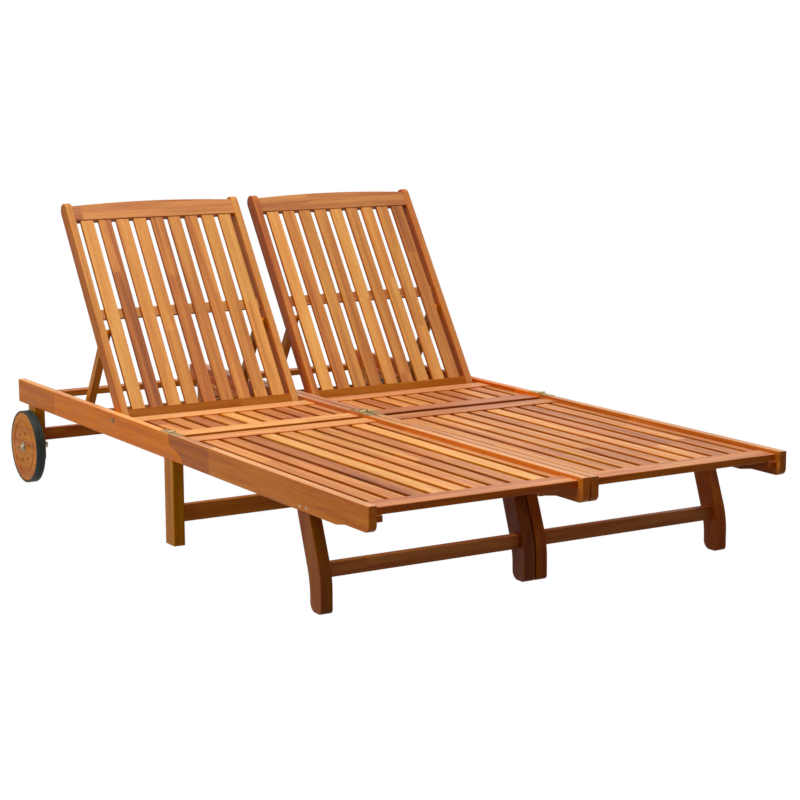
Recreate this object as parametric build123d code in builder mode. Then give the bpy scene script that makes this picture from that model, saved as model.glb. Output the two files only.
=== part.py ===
from build123d import *

import os
from math import cos, radians, sin, tan

# A double chaise lounger in millimetres: two slatted wooden loungers side by side, bolted together.
# X runs across, Y from the foot end to the wheel end, and Z up from the ground below the middle.
# Each lounger has a fixed frame, a foot section that folds up over the seat, and a backrest with a prop.
# It is drawn as it stands in use: foot section down, backrest raised, prop in the lowest notches.

# Overall sizes
LENGTH = 2000.0
UNIT_WIDTH = 560.0
UNIT_GAP = 4.0
RAIL_TOP = 280.0
RAIL_HEIGHT = 65.0
RAIL_THICKNESS = 20.0
EDGE_ROUND = 2.0
OVERRUN = 5.0
FIT_CLEARANCE = 0.05
SIDE_CLEARANCE = 0.5

# Fold between the foot section and the frame
FOLD_FROM_HEAD = 1022.0
JAW_LENGTH = 82.0
SCARF_GAP = 0.8
FOLD_CLEARANCE = 28.0
SCARF_SHARES = ((0.06, 0.41), (0.57, 0.61), (0.85, 0.76))

# Toe of the foot section's rails
TOE_LENGTH = 102.0
TOE_SLOPE = 38.0
TOE_LIFT = 7.0
TOE_ROUND = 17.0
STEP_ROUND = 30.0

# Cross rails, ledgers and slats of the seat and foot section
SEAT_LENGTH = 299.0
CROSS_RAIL_WIDTH = 60.0
CROSS_RAIL_THICKNESS = 17.0
CROSS_RAIL_DROP = 8.0
CROSS_RAIL_SETBACK = 18.0
LEDGER_WIDTH = 20.0
LEDGER_HEIGHT = 28.0
LEDGER_SETBACK = 12.0
SLAT_COUNT = 9
SLAT_WIDTH = 38.0
SLAT_THICKNESS = 12.0
SLAT_DROP = 11.0
FOOT_BATTEN_WIDTH = 50.0
FOOT_BATTEN_THICKNESS = 12.0

# Head cross rail, which the lowered backrest lies on
HEAD_RAIL_WIDTH = 38.0
HEAD_RAIL_SETBACK = 4.0
HEAD_RAIL_GAP = 1.0

# Legs and posts, each with a tongue behind the rail
LEG_THICKNESS = 30.0
LEG_DEPTH = 50.0
TONGUE_CLEARANCE = 3.0
FOOT_LEG_FROM_END = 208.0
FOOT_LEG_FRONT_SWEEP = 49.0
FOOT_LEG_BACK_SWEEP = 54.0
FOOT_LEG_FRONT_KNEE = 85.0
FOOT_LEG_BACK_KNEE = 64.0
FOOT_LEG_KNEE_RADIUS = 184.0
FOOT_LEG_FRONT_ROUND = 11.0
FOOT_LEG_BACK_ROUND = 21.0
POST_BEFORE_FOLD = 22.0
WHEEL_LEG_FROM_END = 72.0
WHEEL_LEG_BOTTOM = 58.0
WHEEL_LEG_ROUND = 10.0

# Stretchers between the legs
STRETCHER_THICKNESS = 20.0
FOOT_STRETCHER_BOTTOM = 75.0
FOOT_STRETCHER_HEIGHT = 33.0
FOOT_STRETCHER_FROM_END = 233.0
MID_STRETCHER_BOTTOM = 56.0
MID_STRETCHER_HEIGHT = 43.0
REAR_STRETCHER_BOTTOM = 115.0
REAR_STRETCHER_HEIGHT = 34.0

# Backrest, drawn in its own tilted plane: heights run up the backrest from its pivot
BACK_ANGLE = 56.07
PIVOT_FROM_FOLD = 342.0
PIVOT_DROP = 19.0
STILE_THICKNESS = 20.0
STILE_DEPTH = 40.0
STILE_FRONT = 19.0
STILE_HEIGHT = 646.0
STILE_SIDE_GAP = 1.5
BACK_RAIL_THICKNESS = 20.0
BACK_RAIL_SETBACK = 2.0
BOTTOM_RAIL_HEIGHT = 40.0
CREST_BELOW_STILES = 60.0
CREST_END_HEIGHT = 45.0
CREST_RISE = 8.0
BACK_SLAT_WIDTH = 37.0
BACK_SLAT_THICKNESS = 10.0
BACK_SLAT_SETBACK = 4.5
BACK_BATTEN_BOTTOM = 289.0
BACK_BATTEN_HEIGHT = 31.0
BACK_BATTEN_THICKNESS = 6.0
BACK_BATTEN_END_GAP = 5.0

# Prop: two arms on wooden pegs, and a bar that drops into the notched racks
PEG_DIAMETER = 10.0
PEG_HEIGHT = 256.0
PEG_BEHIND_PIVOT = 11.5
PEG_STAND_OUT = 2.0
ARM_ANGLE = 58.6
ARM_LENGTH = 274.0
ARM_WIDTH = 20.0
ARM_THICKNESS = 20.0
BAR_DIAMETER = 13.0
RACK_TOP_GAP = 1.0
RACK_THICKNESS = 20.0
RACK_NOTCH_COUNT = 4
RACK_NOTCH_WIDTH = 14.0
RACK_NOTCH_DEPTH = 13.0
RACK_FRONT_MARGIN = 25.0
RACK_REAR_MARGIN = 46.0
RACK_LEG_GAP = 12.8

# Wheels: a wooden disc with a rubber tyre, on a bolt through the wheel leg
WHEEL_RADIUS = 102.0
WHEEL_WIDTH = 26.0
WHEEL_GAP = 4.0
AXLE_FROM_LEG_FRONT = 17.0
AXLE_DIAMETER = 10.0
DISC_RADIUS = 97.5
DISC_ROUND = 4.0
DISC_GROOVE_RADIUS = 72.0
DISC_GROOVE_WIDTH = 5.0
DISC_GROOVE_DEPTH = 1.5
DISC_HOLE_COUNT = 6
DISC_HOLE_DIAMETER = 9.0
DISC_HOLE_CIRCLE_RADIUS = 41.0
DISC_HOLE_PHASE = 48.0
RIM_GROOVE_WIDTH = 9.0
RIM_GROOVE_DEPTH = 4.0
TYRE_ROUND = 2.0
TREAD_GROOVE_WIDTH = 4.0
TREAD_GROOVE_DEPTH = 1.5
AXLE_WASHER_DIAMETER = 26.0
AXLE_WASHER_THICKNESS = 1.5
AXLE_CAP_DIAMETER = 16.0
AXLE_CAP_HEIGHT = 7.0
AXLE_CAP_EDGE = 2.5
AXLE_NUT_WIDTH = 16.0
AXLE_NUT_HEIGHT = 8.0
FACE_CLEARANCE = 0.3

# Fold hinges on the rails' top edges
HINGE_LEAF_LENGTH = 48.0
HINGE_WIDTH = 18.0
LEAF_THICKNESS = 2.0
KNUCKLE_DIAMETER = 6.0
KNUCKLE_LIFT = 0.3
KNUCKLE_GAP = 0.3
LEAF_GAP = 0.5
KNUCKLE_COUNT = 3
HINGE_PIN_DIAMETER = 3.0

# Screws and bolts
COUNTERSINK_ANGLE = 90.0
SCREW_DIAMETER = 4.0
SCREW_HEAD_DIAMETER = 8.5
LEG_SCREW_LENGTH = 27.0
LEG_SCREW_HEIGHT = 10.0
LEG_SCREW_SPREAD = 30.0
RACK_SCREW_LENGTH = 34.0
LEAF_SCREW_LENGTH = 16.0
LEAF_SCREW_DIAMETER = 3.0
LEAF_SCREW_HEAD_DIAMETER = 5.5
LEAF_SCREW_SHARES = (0.35, 0.8)
PIVOT_BOLT_DIAMETER = 8.0
PIVOT_BOLT_REACH = 17.0
PIVOT_HEAD_DIAMETER = 14.0
PIVOT_HEAD_HEIGHT = 1.8
PIVOT_WASHER_DIAMETER = 20.0
PIVOT_WASHER_GAP = 0.2
JOINING_BOLT_DIAMETER = 8.0
JOINING_HEAD_DIAMETER = 14.0
JOINING_HEAD_HEIGHT = 2.5
JOINING_SPACER_DIAMETER = 20.0
JOINING_BOLT_RISE = 12.0
JOINING_BOLT_SHARES = (0.12, 0.51, 0.945)

# Places that follow from the sizes
FOOT_END = -LENGTH / 2
HEAD_END = LENGTH / 2
FOLD_Y = HEAD_END - FOLD_FROM_HEAD
RAIL_BOTTOM = RAIL_TOP - RAIL_HEIGHT
UNIT_INNER = UNIT_GAP / 2
UNIT_OUTER = UNIT_INNER + UNIT_WIDTH
WELL_INNER = UNIT_INNER + RAIL_THICKNESS
WELL_OUTER = UNIT_OUTER - RAIL_THICKNESS
TONGUE_THICKNESS = LEG_THICKNESS - RAIL_THICKNESS

CROSS_RAIL_TOP = RAIL_TOP - CROSS_RAIL_DROP
CROSS_RAIL_BOTTOM = CROSS_RAIL_TOP - CROSS_RAIL_THICKNESS
SLAT_TOP = RAIL_TOP - SLAT_DROP
SLAT_BOTTOM = SLAT_TOP - SLAT_THICKNESS
LEDGER_BOTTOM = SLAT_TOP - LEDGER_HEIGHT
TONGUE_TOP = LEDGER_BOTTOM - TONGUE_CLEARANCE
FOOT_FRONT = FOOT_END + CROSS_RAIL_SETBACK
FOOT_REAR = FOLD_Y - FOLD_CLEARANCE
SEAT_REAR = FOLD_Y + SEAT_LENGTH
SLATS_INNER = WELL_INNER + LEDGER_WIDTH
SLATS_OUTER = WELL_OUTER - LEDGER_WIDTH

FOOT_LEG_Y = FOOT_END + FOOT_LEG_FROM_END
FOOT_LEG_TOP_Y = FOOT_LEG_Y + (FOOT_LEG_FRONT_SWEEP + FOOT_LEG_BACK_SWEEP) / 2
MID_POST_Y = FOLD_Y - POST_BEFORE_FOLD
WHEEL_LEG_Y = HEAD_END - WHEEL_LEG_FROM_END - LEG_DEPTH
AXLE_Y = WHEEL_LEG_Y + AXLE_FROM_LEG_FRONT

PIVOT_Y = FOLD_Y + PIVOT_FROM_FOLD
PIVOT_Z = RAIL_TOP - PIVOT_DROP
STILE_BACK = STILE_FRONT - STILE_DEPTH
STILE_INNER_SIDE = WELL_INNER + STILE_SIDE_GAP
STILE_OUTER_SIDE = WELL_OUTER - STILE_SIDE_GAP
BACK_INNER = STILE_INNER_SIDE + STILE_THICKNESS
BACK_OUTER = STILE_OUTER_SIDE - STILE_THICKNESS
BACK_RAIL_FRONT = STILE_FRONT - BACK_RAIL_SETBACK
BACK_RAIL_MIDDLE = BACK_RAIL_FRONT - BACK_RAIL_THICKNESS / 2
BOTTOM_RAIL_TOP = BOTTOM_RAIL_HEIGHT / 2
CREST_BOTTOM = STILE_HEIGHT - CREST_BELOW_STILES
BACK_SLAT_BACK = STILE_FRONT - BACK_SLAT_SETBACK - BACK_SLAT_THICKNESS
HEAD_RAIL_TOP = PIVOT_Z + STILE_BACK - HEAD_RAIL_GAP

ARM_INNER_SIDE = BACK_INNER + SIDE_CLEARANCE
ARM_OUTER_SIDE = BACK_OUTER - SIDE_CLEARANCE
RACK_TOP = PIVOT_Z + STILE_BACK - RACK_TOP_GAP

PIN_Z = RAIL_TOP + KNUCKLE_LIFT + KNUCKLE_DIAMETER / 2
WHEEL_INNER = UNIT_OUTER + WHEEL_GAP
WHEEL_OUTER = WHEEL_INNER + WHEEL_WIDTH

# Each lounger by its side of the middle, and each side rail as its side and whether it is an inner one
SIDES = {"left": -1, "right": 1}
ALL_RAILS = [(side, inner) for side in SIDES.values() for inner in (False, True)]
OUTER_RAILS = [(side, False) for side in SIDES.values()]
INNER_RAILS = [(side, True) for side in SIDES.values()]


# Places and planes
def x_range(side, near, far):
    """The range along X between two distances from the middle of the part, on its left or right."""
    return tuple(sorted((side * near, side * far)))


def behind_rail(side, inner, start, end):
    """The range along X between two depths, counted into a lounger from a rail's hidden face."""
    if inner:
        return x_range(side, WELL_INNER + start, WELL_INNER + end)
    return x_range(side, WELL_OUTER - end, WELL_OUTER - start)


def slat_ranges(side, inner, outer, width):
    """Ranges along X of evenly spaced slats between two distances from the middle of the part."""
    gap = (outer - inner - SLAT_COUNT * width) / (SLAT_COUNT + 1)
    starts = [inner + gap + index * (width + gap) for index in range(SLAT_COUNT)]
    return [x_range(side, start, start + width) for start in starts]


def back_point(height, depth):
    """The Y and Z of a place on the raised backrest, up from its pivot and out from its pivot line."""
    angle = radians(BACK_ANGLE)
    y = PIVOT_Y + height * cos(angle) - depth * sin(angle)
    z = PIVOT_Z + height * sin(angle) + depth * cos(angle)
    return y, z


def back_side_plane(x):
    """Plane across X whose local X runs up the backrest and local Y out of its front."""
    angle = radians(BACK_ANGLE)
    return Plane(origin=(x, PIVOT_Y, PIVOT_Z), x_dir=(0, cos(angle), sin(angle)), z_dir=(1, 0, 0))


def back_face_plane(depth):
    """Plane along the backrest's face whose local X is the part's X and local Y runs up the backrest."""
    angle = radians(BACK_ANGLE)
    return Plane(origin=(0, *back_point(0, depth)), x_dir=(1, 0, 0), z_dir=(0, -sin(angle), cos(angle)))


def back_section_plane(height):
    """Plane square to the backrest's height whose local Y runs out of its back."""
    angle = radians(BACK_ANGLE)
    return Plane(origin=(0, *back_point(height, 0)), x_dir=(1, 0, 0), z_dir=(0, cos(angle), sin(angle)))


def arm_plane(x):
    """Plane across X with the peg at its origin, whose local X runs down the prop's arm."""
    angle = radians(ARM_ANGLE)
    peg_y, peg_z = back_point(PEG_HEIGHT, -PEG_BEHIND_PIVOT)
    return Plane(origin=(x, peg_y, peg_z), x_dir=(0, cos(angle), -sin(angle)), z_dir=(1, 0, 0))


PEG_Y, PEG_Z = back_point(PEG_HEIGHT, -PEG_BEHIND_PIVOT)
BAR_Y = PEG_Y + ARM_LENGTH * cos(radians(ARM_ANGLE))
BAR_Z = PEG_Z - ARM_LENGTH * sin(radians(ARM_ANGLE))
RACK_LAST_NOTCH_Y = WHEEL_LEG_Y - RACK_LEG_GAP - RACK_REAR_MARGIN
RACK_NOTCH_PITCH = (RACK_LAST_NOTCH_Y - BAR_Y) / (RACK_NOTCH_COUNT - 1)
PIVOT = (PIVOT_Y, PIVOT_Z)
PEG = (PEG_Y, PEG_Z)
AXLE = (AXLE_Y, WHEEL_RADIUS)
FOLD_PIN = (FOLD_Y, PIN_Z)


def length_of(span):
    """The length of a range."""
    return span[1] - span[0]


def middle_of(*spans):
    """The middle of each of some ranges."""
    return tuple((low + high) / 2 for low, high in spans)


def rail_distances(inner):
    """The distances of a side rail's two faces from the middle of the part."""
    return (UNIT_INNER, WELL_INNER) if inner else (WELL_OUTER, UNIT_OUTER)


def planes_behind(rails, start, end):
    """Planes across X, each at the low end of a range of depths behind one of some rails."""
    return [Plane.YZ.offset(behind_rail(side, inner, start, end)[0]) for side, inner in rails]


def planes_between(sides, near, far):
    """Planes across X, each at the low end of a range of distances on one of some sides."""
    return [Plane.YZ.offset(x_range(side, near, far)[0]) for side in sides]


# Shapes that many pieces share
def bars_along_x(planes, y_span, z_span, length):
    """Bars with rounded long edges that run across the part, one from each plane."""
    with BuildSketch(*planes) as section:
        with Locations(middle_of(y_span, z_span)):
            RectangleRounded(length_of(y_span), length_of(z_span), EDGE_ROUND)
    extrude(section.sketch, amount=length)


def rods_along_x(planes, place, diameter, length, mode=Mode.ADD):
    """Rods or bores across the part at a Y and Z place, one from each plane."""
    with BuildSketch(*planes) as section:
        with Locations(place):
            Circle(diameter / 2)
    extrude(section.sketch, amount=length, mode=mode)


def rings_along_x(planes, place, diameter, bore, length):
    """Washers or spacers across the part at a Y and Z place, one from each plane."""
    with BuildSketch(*planes) as section:
        with Locations(place):
            Circle(diameter / 2)
            Circle(bore / 2 + FIT_CLEARANCE, mode=Mode.SUBTRACT)
    extrude(section.sketch, amount=length)


def screw_holes(planes, length, diameter, head_diameter):
    """Countersunk holes for screws that run down from their planes."""
    with Locations(*planes):
        CounterSinkHole(diameter / 2 + FIT_CLEARANCE, head_diameter / 2 + FIT_CLEARANCE,
                        length + FIT_CLEARANCE, COUNTERSINK_ANGLE)


def shank_holes(planes, length, diameter):
    """Plain holes for the shanks of screws that run down from their planes."""
    with Locations(*planes):
        Hole(diameter / 2 + FIT_CLEARANCE, length + FIT_CLEARANCE)


def screw(length, diameter, head_diameter):
    """Countersunk screw that runs down from the part's origin."""
    head = head_diameter / 2
    shank = diameter / 2
    head_height = (head - shank) / tan(radians(COUNTERSINK_ANGLE / 2))
    with BuildSketch(Plane.XZ) as profile:
        with BuildLine():
            Polyline((0, 0), (head, 0), (shank, -head_height), (shank, -length), (0, -length), close=True)
        make_face()
    revolve(profile.sketch, Axis.Z)


def write_piece(part, name):
    """Label a finished piece and write it to its own file."""
    part.label = name
    export_step(part, f"parts/{name}.step")


# Where the screws and bolts sit
def leg_screw_planes(rails, leg_y):
    """Planes of the two screws that hold each leg, on the rail's face away from the leg's tongue."""
    middle = leg_y + LEG_DEPTH / 2
    planes = []
    for side, inner in rails:
        x = side * (UNIT_INNER if inner else UNIT_OUTER)
        outward = -side if inner else side
        for y in (middle - LEG_SCREW_SPREAD / 2, middle + LEG_SCREW_SPREAD / 2):
            planes.append(Plane((x, y, RAIL_BOTTOM + LEG_SCREW_HEIGHT), z_dir=(outward, 0, 0)))
    return planes


def rack_screw_planes(rails):
    """Planes of the screws that hold each notched rack to its rail, midway between the notches."""
    planes = []
    for side, inner in rails:
        x = side * (WELL_INNER + RACK_THICKNESS if inner else WELL_OUTER - RACK_THICKNESS)
        outward = side if inner else -side
        for index in range(RACK_NOTCH_COUNT - 1):
            y = BAR_Y + (index + 1 / 2) * RACK_NOTCH_PITCH
            planes.append(Plane((x, y, RAIL_BOTTOM + LEG_SCREW_HEIGHT), z_dir=(outward, 0, 0)))
    return planes


def leaf_screw_planes(rails, direction):
    """Planes of the two screws in each hinge leaf, before or behind the fold line."""
    planes = []
    for side, inner in rails:
        x = side * middle_of(rail_distances(inner))[0]
        for share in LEAF_SCREW_SHARES:
            y = FOLD_Y + direction * HINGE_LEAF_LENGTH * share
            planes.append(Plane((x, y, RAIL_TOP + LEAF_THICKNESS)))
    return planes


def joining_bolt_places():
    """Y and Z of the bolts that hold the two inner rails together."""
    reach = HEAD_END - FOLD_Y
    return [(FOLD_Y + reach * share, RAIL_BOTTOM + JOINING_BOLT_RISE) for share in JOINING_BOLT_SHARES]


# Rails, ledgers and slats
def scarf_points(shift):
    """Y and Z points down the stepped joint at the fold, moved off the frame's side by a gap."""
    steps = [
        (FOLD_Y - JAW_LENGTH * along - shift, RAIL_TOP - RAIL_HEIGHT * down + shift)
        for along, down in SCARF_SHARES
    ]
    return [(FOLD_Y - shift, RAIL_TOP), *steps, (FOLD_Y - JAW_LENGTH - shift, RAIL_BOTTOM)]


def frame_side_rail(rail):
    """Side rail behind the fold, with the jaw that carries the foot section's rail."""
    planes = planes_behind([rail], -RAIL_THICKNESS, 0)
    with BuildSketch(*planes) as outline:
        with BuildLine():
            Polyline(*scarf_points(0), (HEAD_END, RAIL_BOTTOM), (HEAD_END, RAIL_TOP), close=True)
        make_face()
    extrude(outline.sketch, amount=RAIL_THICKNESS)
    fillet(edges().filter_by(Axis.Y), radius=EDGE_ROUND)
    leg_planes = leg_screw_planes([rail], MID_POST_Y) + leg_screw_planes([rail], WHEEL_LEG_Y)
    screw_holes(leg_planes, LEG_SCREW_LENGTH, SCREW_DIAMETER, SCREW_HEAD_DIAMETER)
    shank_holes(rack_screw_planes([rail]), RACK_SCREW_LENGTH, SCREW_DIAMETER)
    shank_holes(leaf_screw_planes([rail], 1), LEAF_SCREW_LENGTH, LEAF_SCREW_DIAMETER)
    rods_along_x(planes, PIVOT, PIVOT_BOLT_DIAMETER + 2 * FIT_CLEARANCE, RAIL_THICKNESS, Mode.SUBTRACT)
    if rail in INNER_RAILS:
        for place in joining_bolt_places():
            rods_along_x(planes, place, JOINING_BOLT_DIAMETER + 2 * FIT_CLEARANCE, RAIL_THICKNESS,
                         Mode.SUBTRACT)


def foot_rails(rails):
    """Side rails before the fold, with the raised toe and the stepped joint that sits in the jaw."""
    step_end = FOOT_END + TOE_LENGTH + TOE_SLOPE
    toe_bottom = RAIL_BOTTOM + TOE_LIFT
    with BuildSketch(*planes_behind(rails, -RAIL_THICKNESS, 0)) as outline:
        with BuildLine():
            Polyline(*scarf_points(SCARF_GAP), (step_end, RAIL_BOTTOM), (FOOT_END + TOE_LENGTH, toe_bottom),
                     (FOOT_END, toe_bottom), (FOOT_END, RAIL_TOP), close=True)
        make_face()
        columns = outline.vertices().group_by(Axis.X)
        fillet(columns[1] + columns[2], radius=STEP_ROUND)
        fillet(outline.vertices().group_by(Axis.X)[0].sort_by(Axis.Y)[0], radius=TOE_ROUND)
    extrude(outline.sketch, amount=RAIL_THICKNESS)
    fillet(edges().filter_by(Axis.Y), radius=EDGE_ROUND)
    leg_planes = leg_screw_planes(rails, FOOT_LEG_TOP_Y)
    screw_holes(leg_planes, LEG_SCREW_LENGTH, SCREW_DIAMETER, SCREW_HEAD_DIAMETER)
    shank_holes(leaf_screw_planes(rails, -1), LEAF_SCREW_LENGTH, LEAF_SCREW_DIAMETER)


def ledgers(rails, start, slats_y, end):
    """Strips along the rails at the slats' level, cut down under the cross rails at both ends."""
    with BuildSketch(*planes_behind(rails, 0, LEDGER_WIDTH)) as outline:
        for y_span, top in (((start, end), CROSS_RAIL_BOTTOM), (slats_y, SLAT_TOP)):
            with Locations(middle_of(y_span, (LEDGER_BOTTOM, top))):
                Rectangle(length_of(y_span), top - LEDGER_BOTTOM)
    extrude(outline.sketch, amount=LEDGER_WIDTH)
    fillet(edges().filter_by(Axis.Y).group_by(Axis.Z)[-1], radius=EDGE_ROUND)


def cross_rails(sides, y):
    """Flat cross rails of the seat or foot section, between the side rails."""
    bars_along_x(planes_between(sides, WELL_INNER, WELL_OUTER), (y, y + CROSS_RAIL_WIDTH),
                 (CROSS_RAIL_BOTTOM, CROSS_RAIL_TOP), WELL_OUTER - WELL_INNER)


def lengthwise_slats(sides, y_span):
    """Slats of the seat or foot section, between two cross rails."""
    z = SLAT_TOP - SLAT_THICKNESS / 2
    ranges = [x_span for side in sides for x_span in slat_ranges(side, SLATS_INNER, SLATS_OUTER, SLAT_WIDTH)]
    with BuildSketch(Plane.XZ.offset(-y_span[1])) as section:
        with Locations(*[(middle_of(x_span)[0], z) for x_span in ranges]):
            RectangleRounded(SLAT_WIDTH, SLAT_THICKNESS, EDGE_ROUND)
    extrude(section.sketch, amount=length_of(y_span))


# Legs and stretchers
def cut_out_for_rails(rails, y_span):
    """Leave only the tongue of each leg where it passes its rail."""
    z_span = (RAIL_BOTTOM, TONGUE_TOP + OVERRUN)
    with BuildSketch(*planes_behind(rails, -RAIL_THICKNESS, 0)) as cut:
        with Locations(middle_of(y_span, z_span)):
            Rectangle(length_of(y_span) + 2 * OVERRUN, length_of(z_span))
    extrude(cut.sketch, amount=RAIL_THICKNESS, mode=Mode.SUBTRACT)


def straight_legs(rails, y, bottom):
    """Straight legs under the side rails, each with a tongue up the rail's hidden face."""
    y_span = (y, y + LEG_DEPTH)
    spans = [behind_rail(side, inner, -RAIL_THICKNESS, TONGUE_THICKNESS) for side, inner in rails]
    with BuildSketch(Plane.XY.offset(bottom)) as section:
        with Locations(*[middle_of(x_span, y_span) for x_span in spans]):
            RectangleRounded(LEG_THICKNESS, LEG_DEPTH, EDGE_ROUND)
    extrude(section.sketch, amount=TONGUE_TOP - bottom)
    cut_out_for_rails(rails, y_span)
    shank_holes(leg_screw_planes(rails, y), LEG_SCREW_LENGTH, SCREW_DIAMETER)


def curved_legs(rails):
    """Legs of the foot section, which slant forward from the rail to a soft knee, then stand upright."""
    front = FOOT_LEG_Y
    back = FOOT_LEG_Y + LEG_DEPTH
    top_front = front + FOOT_LEG_FRONT_SWEEP
    top_back = back + FOOT_LEG_BACK_SWEEP
    bend_top = RAIL_BOTTOM - TONGUE_CLEARANCE
    with BuildSketch(*planes_behind(rails, -RAIL_THICKNESS, TONGUE_THICKNESS)) as outline:
        with BuildLine():
            Polyline((front, 0), (back, 0), (back, FOOT_LEG_BACK_KNEE), (top_back, bend_top),
                     (top_back, TONGUE_TOP), (top_front, TONGUE_TOP), (top_front, bend_top),
                     (front, FOOT_LEG_FRONT_KNEE), close=True)
        make_face()
        levels = outline.vertices().group_by(Axis.Y)
        fillet(levels[1] + levels[2], radius=FOOT_LEG_KNEE_RADIUS)
        fillet(outline.vertices().group_by(Axis.Y)[0].sort_by(Axis.X)[0], radius=FOOT_LEG_FRONT_ROUND)
        fillet(outline.vertices().group_by(Axis.Y)[0].sort_by(Axis.X)[-1], radius=FOOT_LEG_BACK_ROUND)
    extrude(outline.sketch, amount=LEG_THICKNESS)
    fillet(faces().filter_by(Axis.X).edges(), radius=EDGE_ROUND)
    cut_out_for_rails(rails, (top_front, top_back))
    shank_holes(leg_screw_planes(rails, FOOT_LEG_TOP_Y), LEG_SCREW_LENGTH, SCREW_DIAMETER)


def stretchers(sides, y, bottom, height):
    """Cross bars between the two legs of a pair."""
    near = WELL_INNER + TONGUE_THICKNESS
    far = WELL_OUTER - TONGUE_THICKNESS
    bars_along_x(planes_between(sides, near, far), (y, y + STRETCHER_THICKNESS),
                 (bottom, bottom + height), far - near)


# Racks, hinges and bolts
def notched_racks_on(rails):
    """Racks on the rails' hidden faces whose notches hold the prop's bar."""
    notches = [BAR_Y + index * RACK_NOTCH_PITCH for index in range(RACK_NOTCH_COUNT)]
    y_span = (notches[0] - RACK_FRONT_MARGIN, notches[-1] + RACK_REAR_MARGIN)
    notch_centre = RACK_TOP - RACK_NOTCH_DEPTH + RACK_NOTCH_WIDTH / 2
    with BuildSketch(*planes_behind(rails, 0, RACK_THICKNESS)) as outline:
        with Locations(middle_of(y_span, (RAIL_BOTTOM, RACK_TOP))):
            Rectangle(length_of(y_span), RACK_TOP - RAIL_BOTTOM)
        with Locations(*[(y, notch_centre) for y in notches]):
            Circle(RACK_NOTCH_WIDTH / 2, mode=Mode.SUBTRACT)
        with Locations(*[(y, notch_centre + RACK_NOTCH_DEPTH / 2) for y in notches]):
            Rectangle(RACK_NOTCH_WIDTH, RACK_NOTCH_DEPTH, mode=Mode.SUBTRACT)
    extrude(outline.sketch, amount=RACK_THICKNESS)
    screw_holes(rack_screw_planes(rails), RACK_SCREW_LENGTH, SCREW_DIAMETER, SCREW_HEAD_DIAMETER)


def hinge_starts(rails):
    """The low end along X of the hinge on each rail."""
    return [side * middle_of(rail_distances(inner))[0] - HINGE_WIDTH / 2 for side, inner in rails]


def hinge_leaves(rails, direction, knuckles):
    """Hinge leaves on the rails' top edges, before or behind the fold line, with their own knuckles."""
    starts = hinge_starts(rails)
    planes = [Plane.YZ.offset(start) for start in starts]
    plate_start = KNUCKLE_DIAMETER / 2 + LEAF_GAP
    z = RAIL_TOP + LEAF_THICKNESS / 2
    with BuildSketch(*planes) as plate:
        with Locations((FOLD_Y + direction * (plate_start + HINGE_LEAF_LENGTH) / 2, z)):
            Rectangle(HINGE_LEAF_LENGTH - plate_start, LEAF_THICKNESS)
    extrude(plate.sketch, amount=HINGE_WIDTH)
    pitch = (HINGE_WIDTH + KNUCKLE_GAP) / KNUCKLE_COUNT
    knuckle_planes = [Plane.YZ.offset(start + index * pitch) for start in starts for index in knuckles]
    with BuildSketch(*knuckle_planes) as knuckle:
        with Locations((FOLD_Y + direction * plate_start / 2, z)):
            Rectangle(plate_start, LEAF_THICKNESS)
        with Locations(FOLD_PIN):
            Circle(KNUCKLE_DIAMETER / 2)
    extrude(knuckle.sketch, amount=pitch - KNUCKLE_GAP)
    rods_along_x(planes, FOLD_PIN, HINGE_PIN_DIAMETER + 2 * FIT_CLEARANCE, HINGE_WIDTH, Mode.SUBTRACT)
    screw_holes(leaf_screw_planes(rails, direction), LEAF_SCREW_LENGTH, LEAF_SCREW_DIAMETER,
                LEAF_SCREW_HEAD_DIAMETER)


def pivot_bolts(rails):
    """Bolts that the backrests turn on, with the washers between the rails and the stiles."""
    reach = STILE_SIDE_GAP + PIVOT_BOLT_REACH
    washer = STILE_SIDE_GAP - PIVOT_WASHER_GAP
    head_planes = planes_behind(rails, -RAIL_THICKNESS - PIVOT_HEAD_HEIGHT, -RAIL_THICKNESS)
    rods_along_x(head_planes, PIVOT, PIVOT_HEAD_DIAMETER, PIVOT_HEAD_HEIGHT)
    shank_planes = planes_behind(rails, -RAIL_THICKNESS, reach)
    rods_along_x(shank_planes, PIVOT, PIVOT_BOLT_DIAMETER, RAIL_THICKNESS + reach)
    rings_along_x(planes_behind(rails, 0, washer), PIVOT, PIVOT_WASHER_DIAMETER, PIVOT_BOLT_DIAMETER, washer)


def joining_bolt(place):
    """Bolt through both inner rails, with a spacer in the gap between them."""
    rods_along_x([Plane.YZ.offset(-WELL_INNER)], place, JOINING_BOLT_DIAMETER, 2 * WELL_INNER)
    head_planes = planes_between(SIDES.values(), WELL_INNER, WELL_INNER + JOINING_HEAD_HEIGHT)
    rods_along_x(head_planes, place, JOINING_HEAD_DIAMETER, JOINING_HEAD_HEIGHT)
    rings_along_x([Plane.YZ.offset(-UNIT_INNER)], place, JOINING_SPACER_DIAMETER, JOINING_BOLT_DIAMETER,
                  UNIT_GAP)


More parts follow.
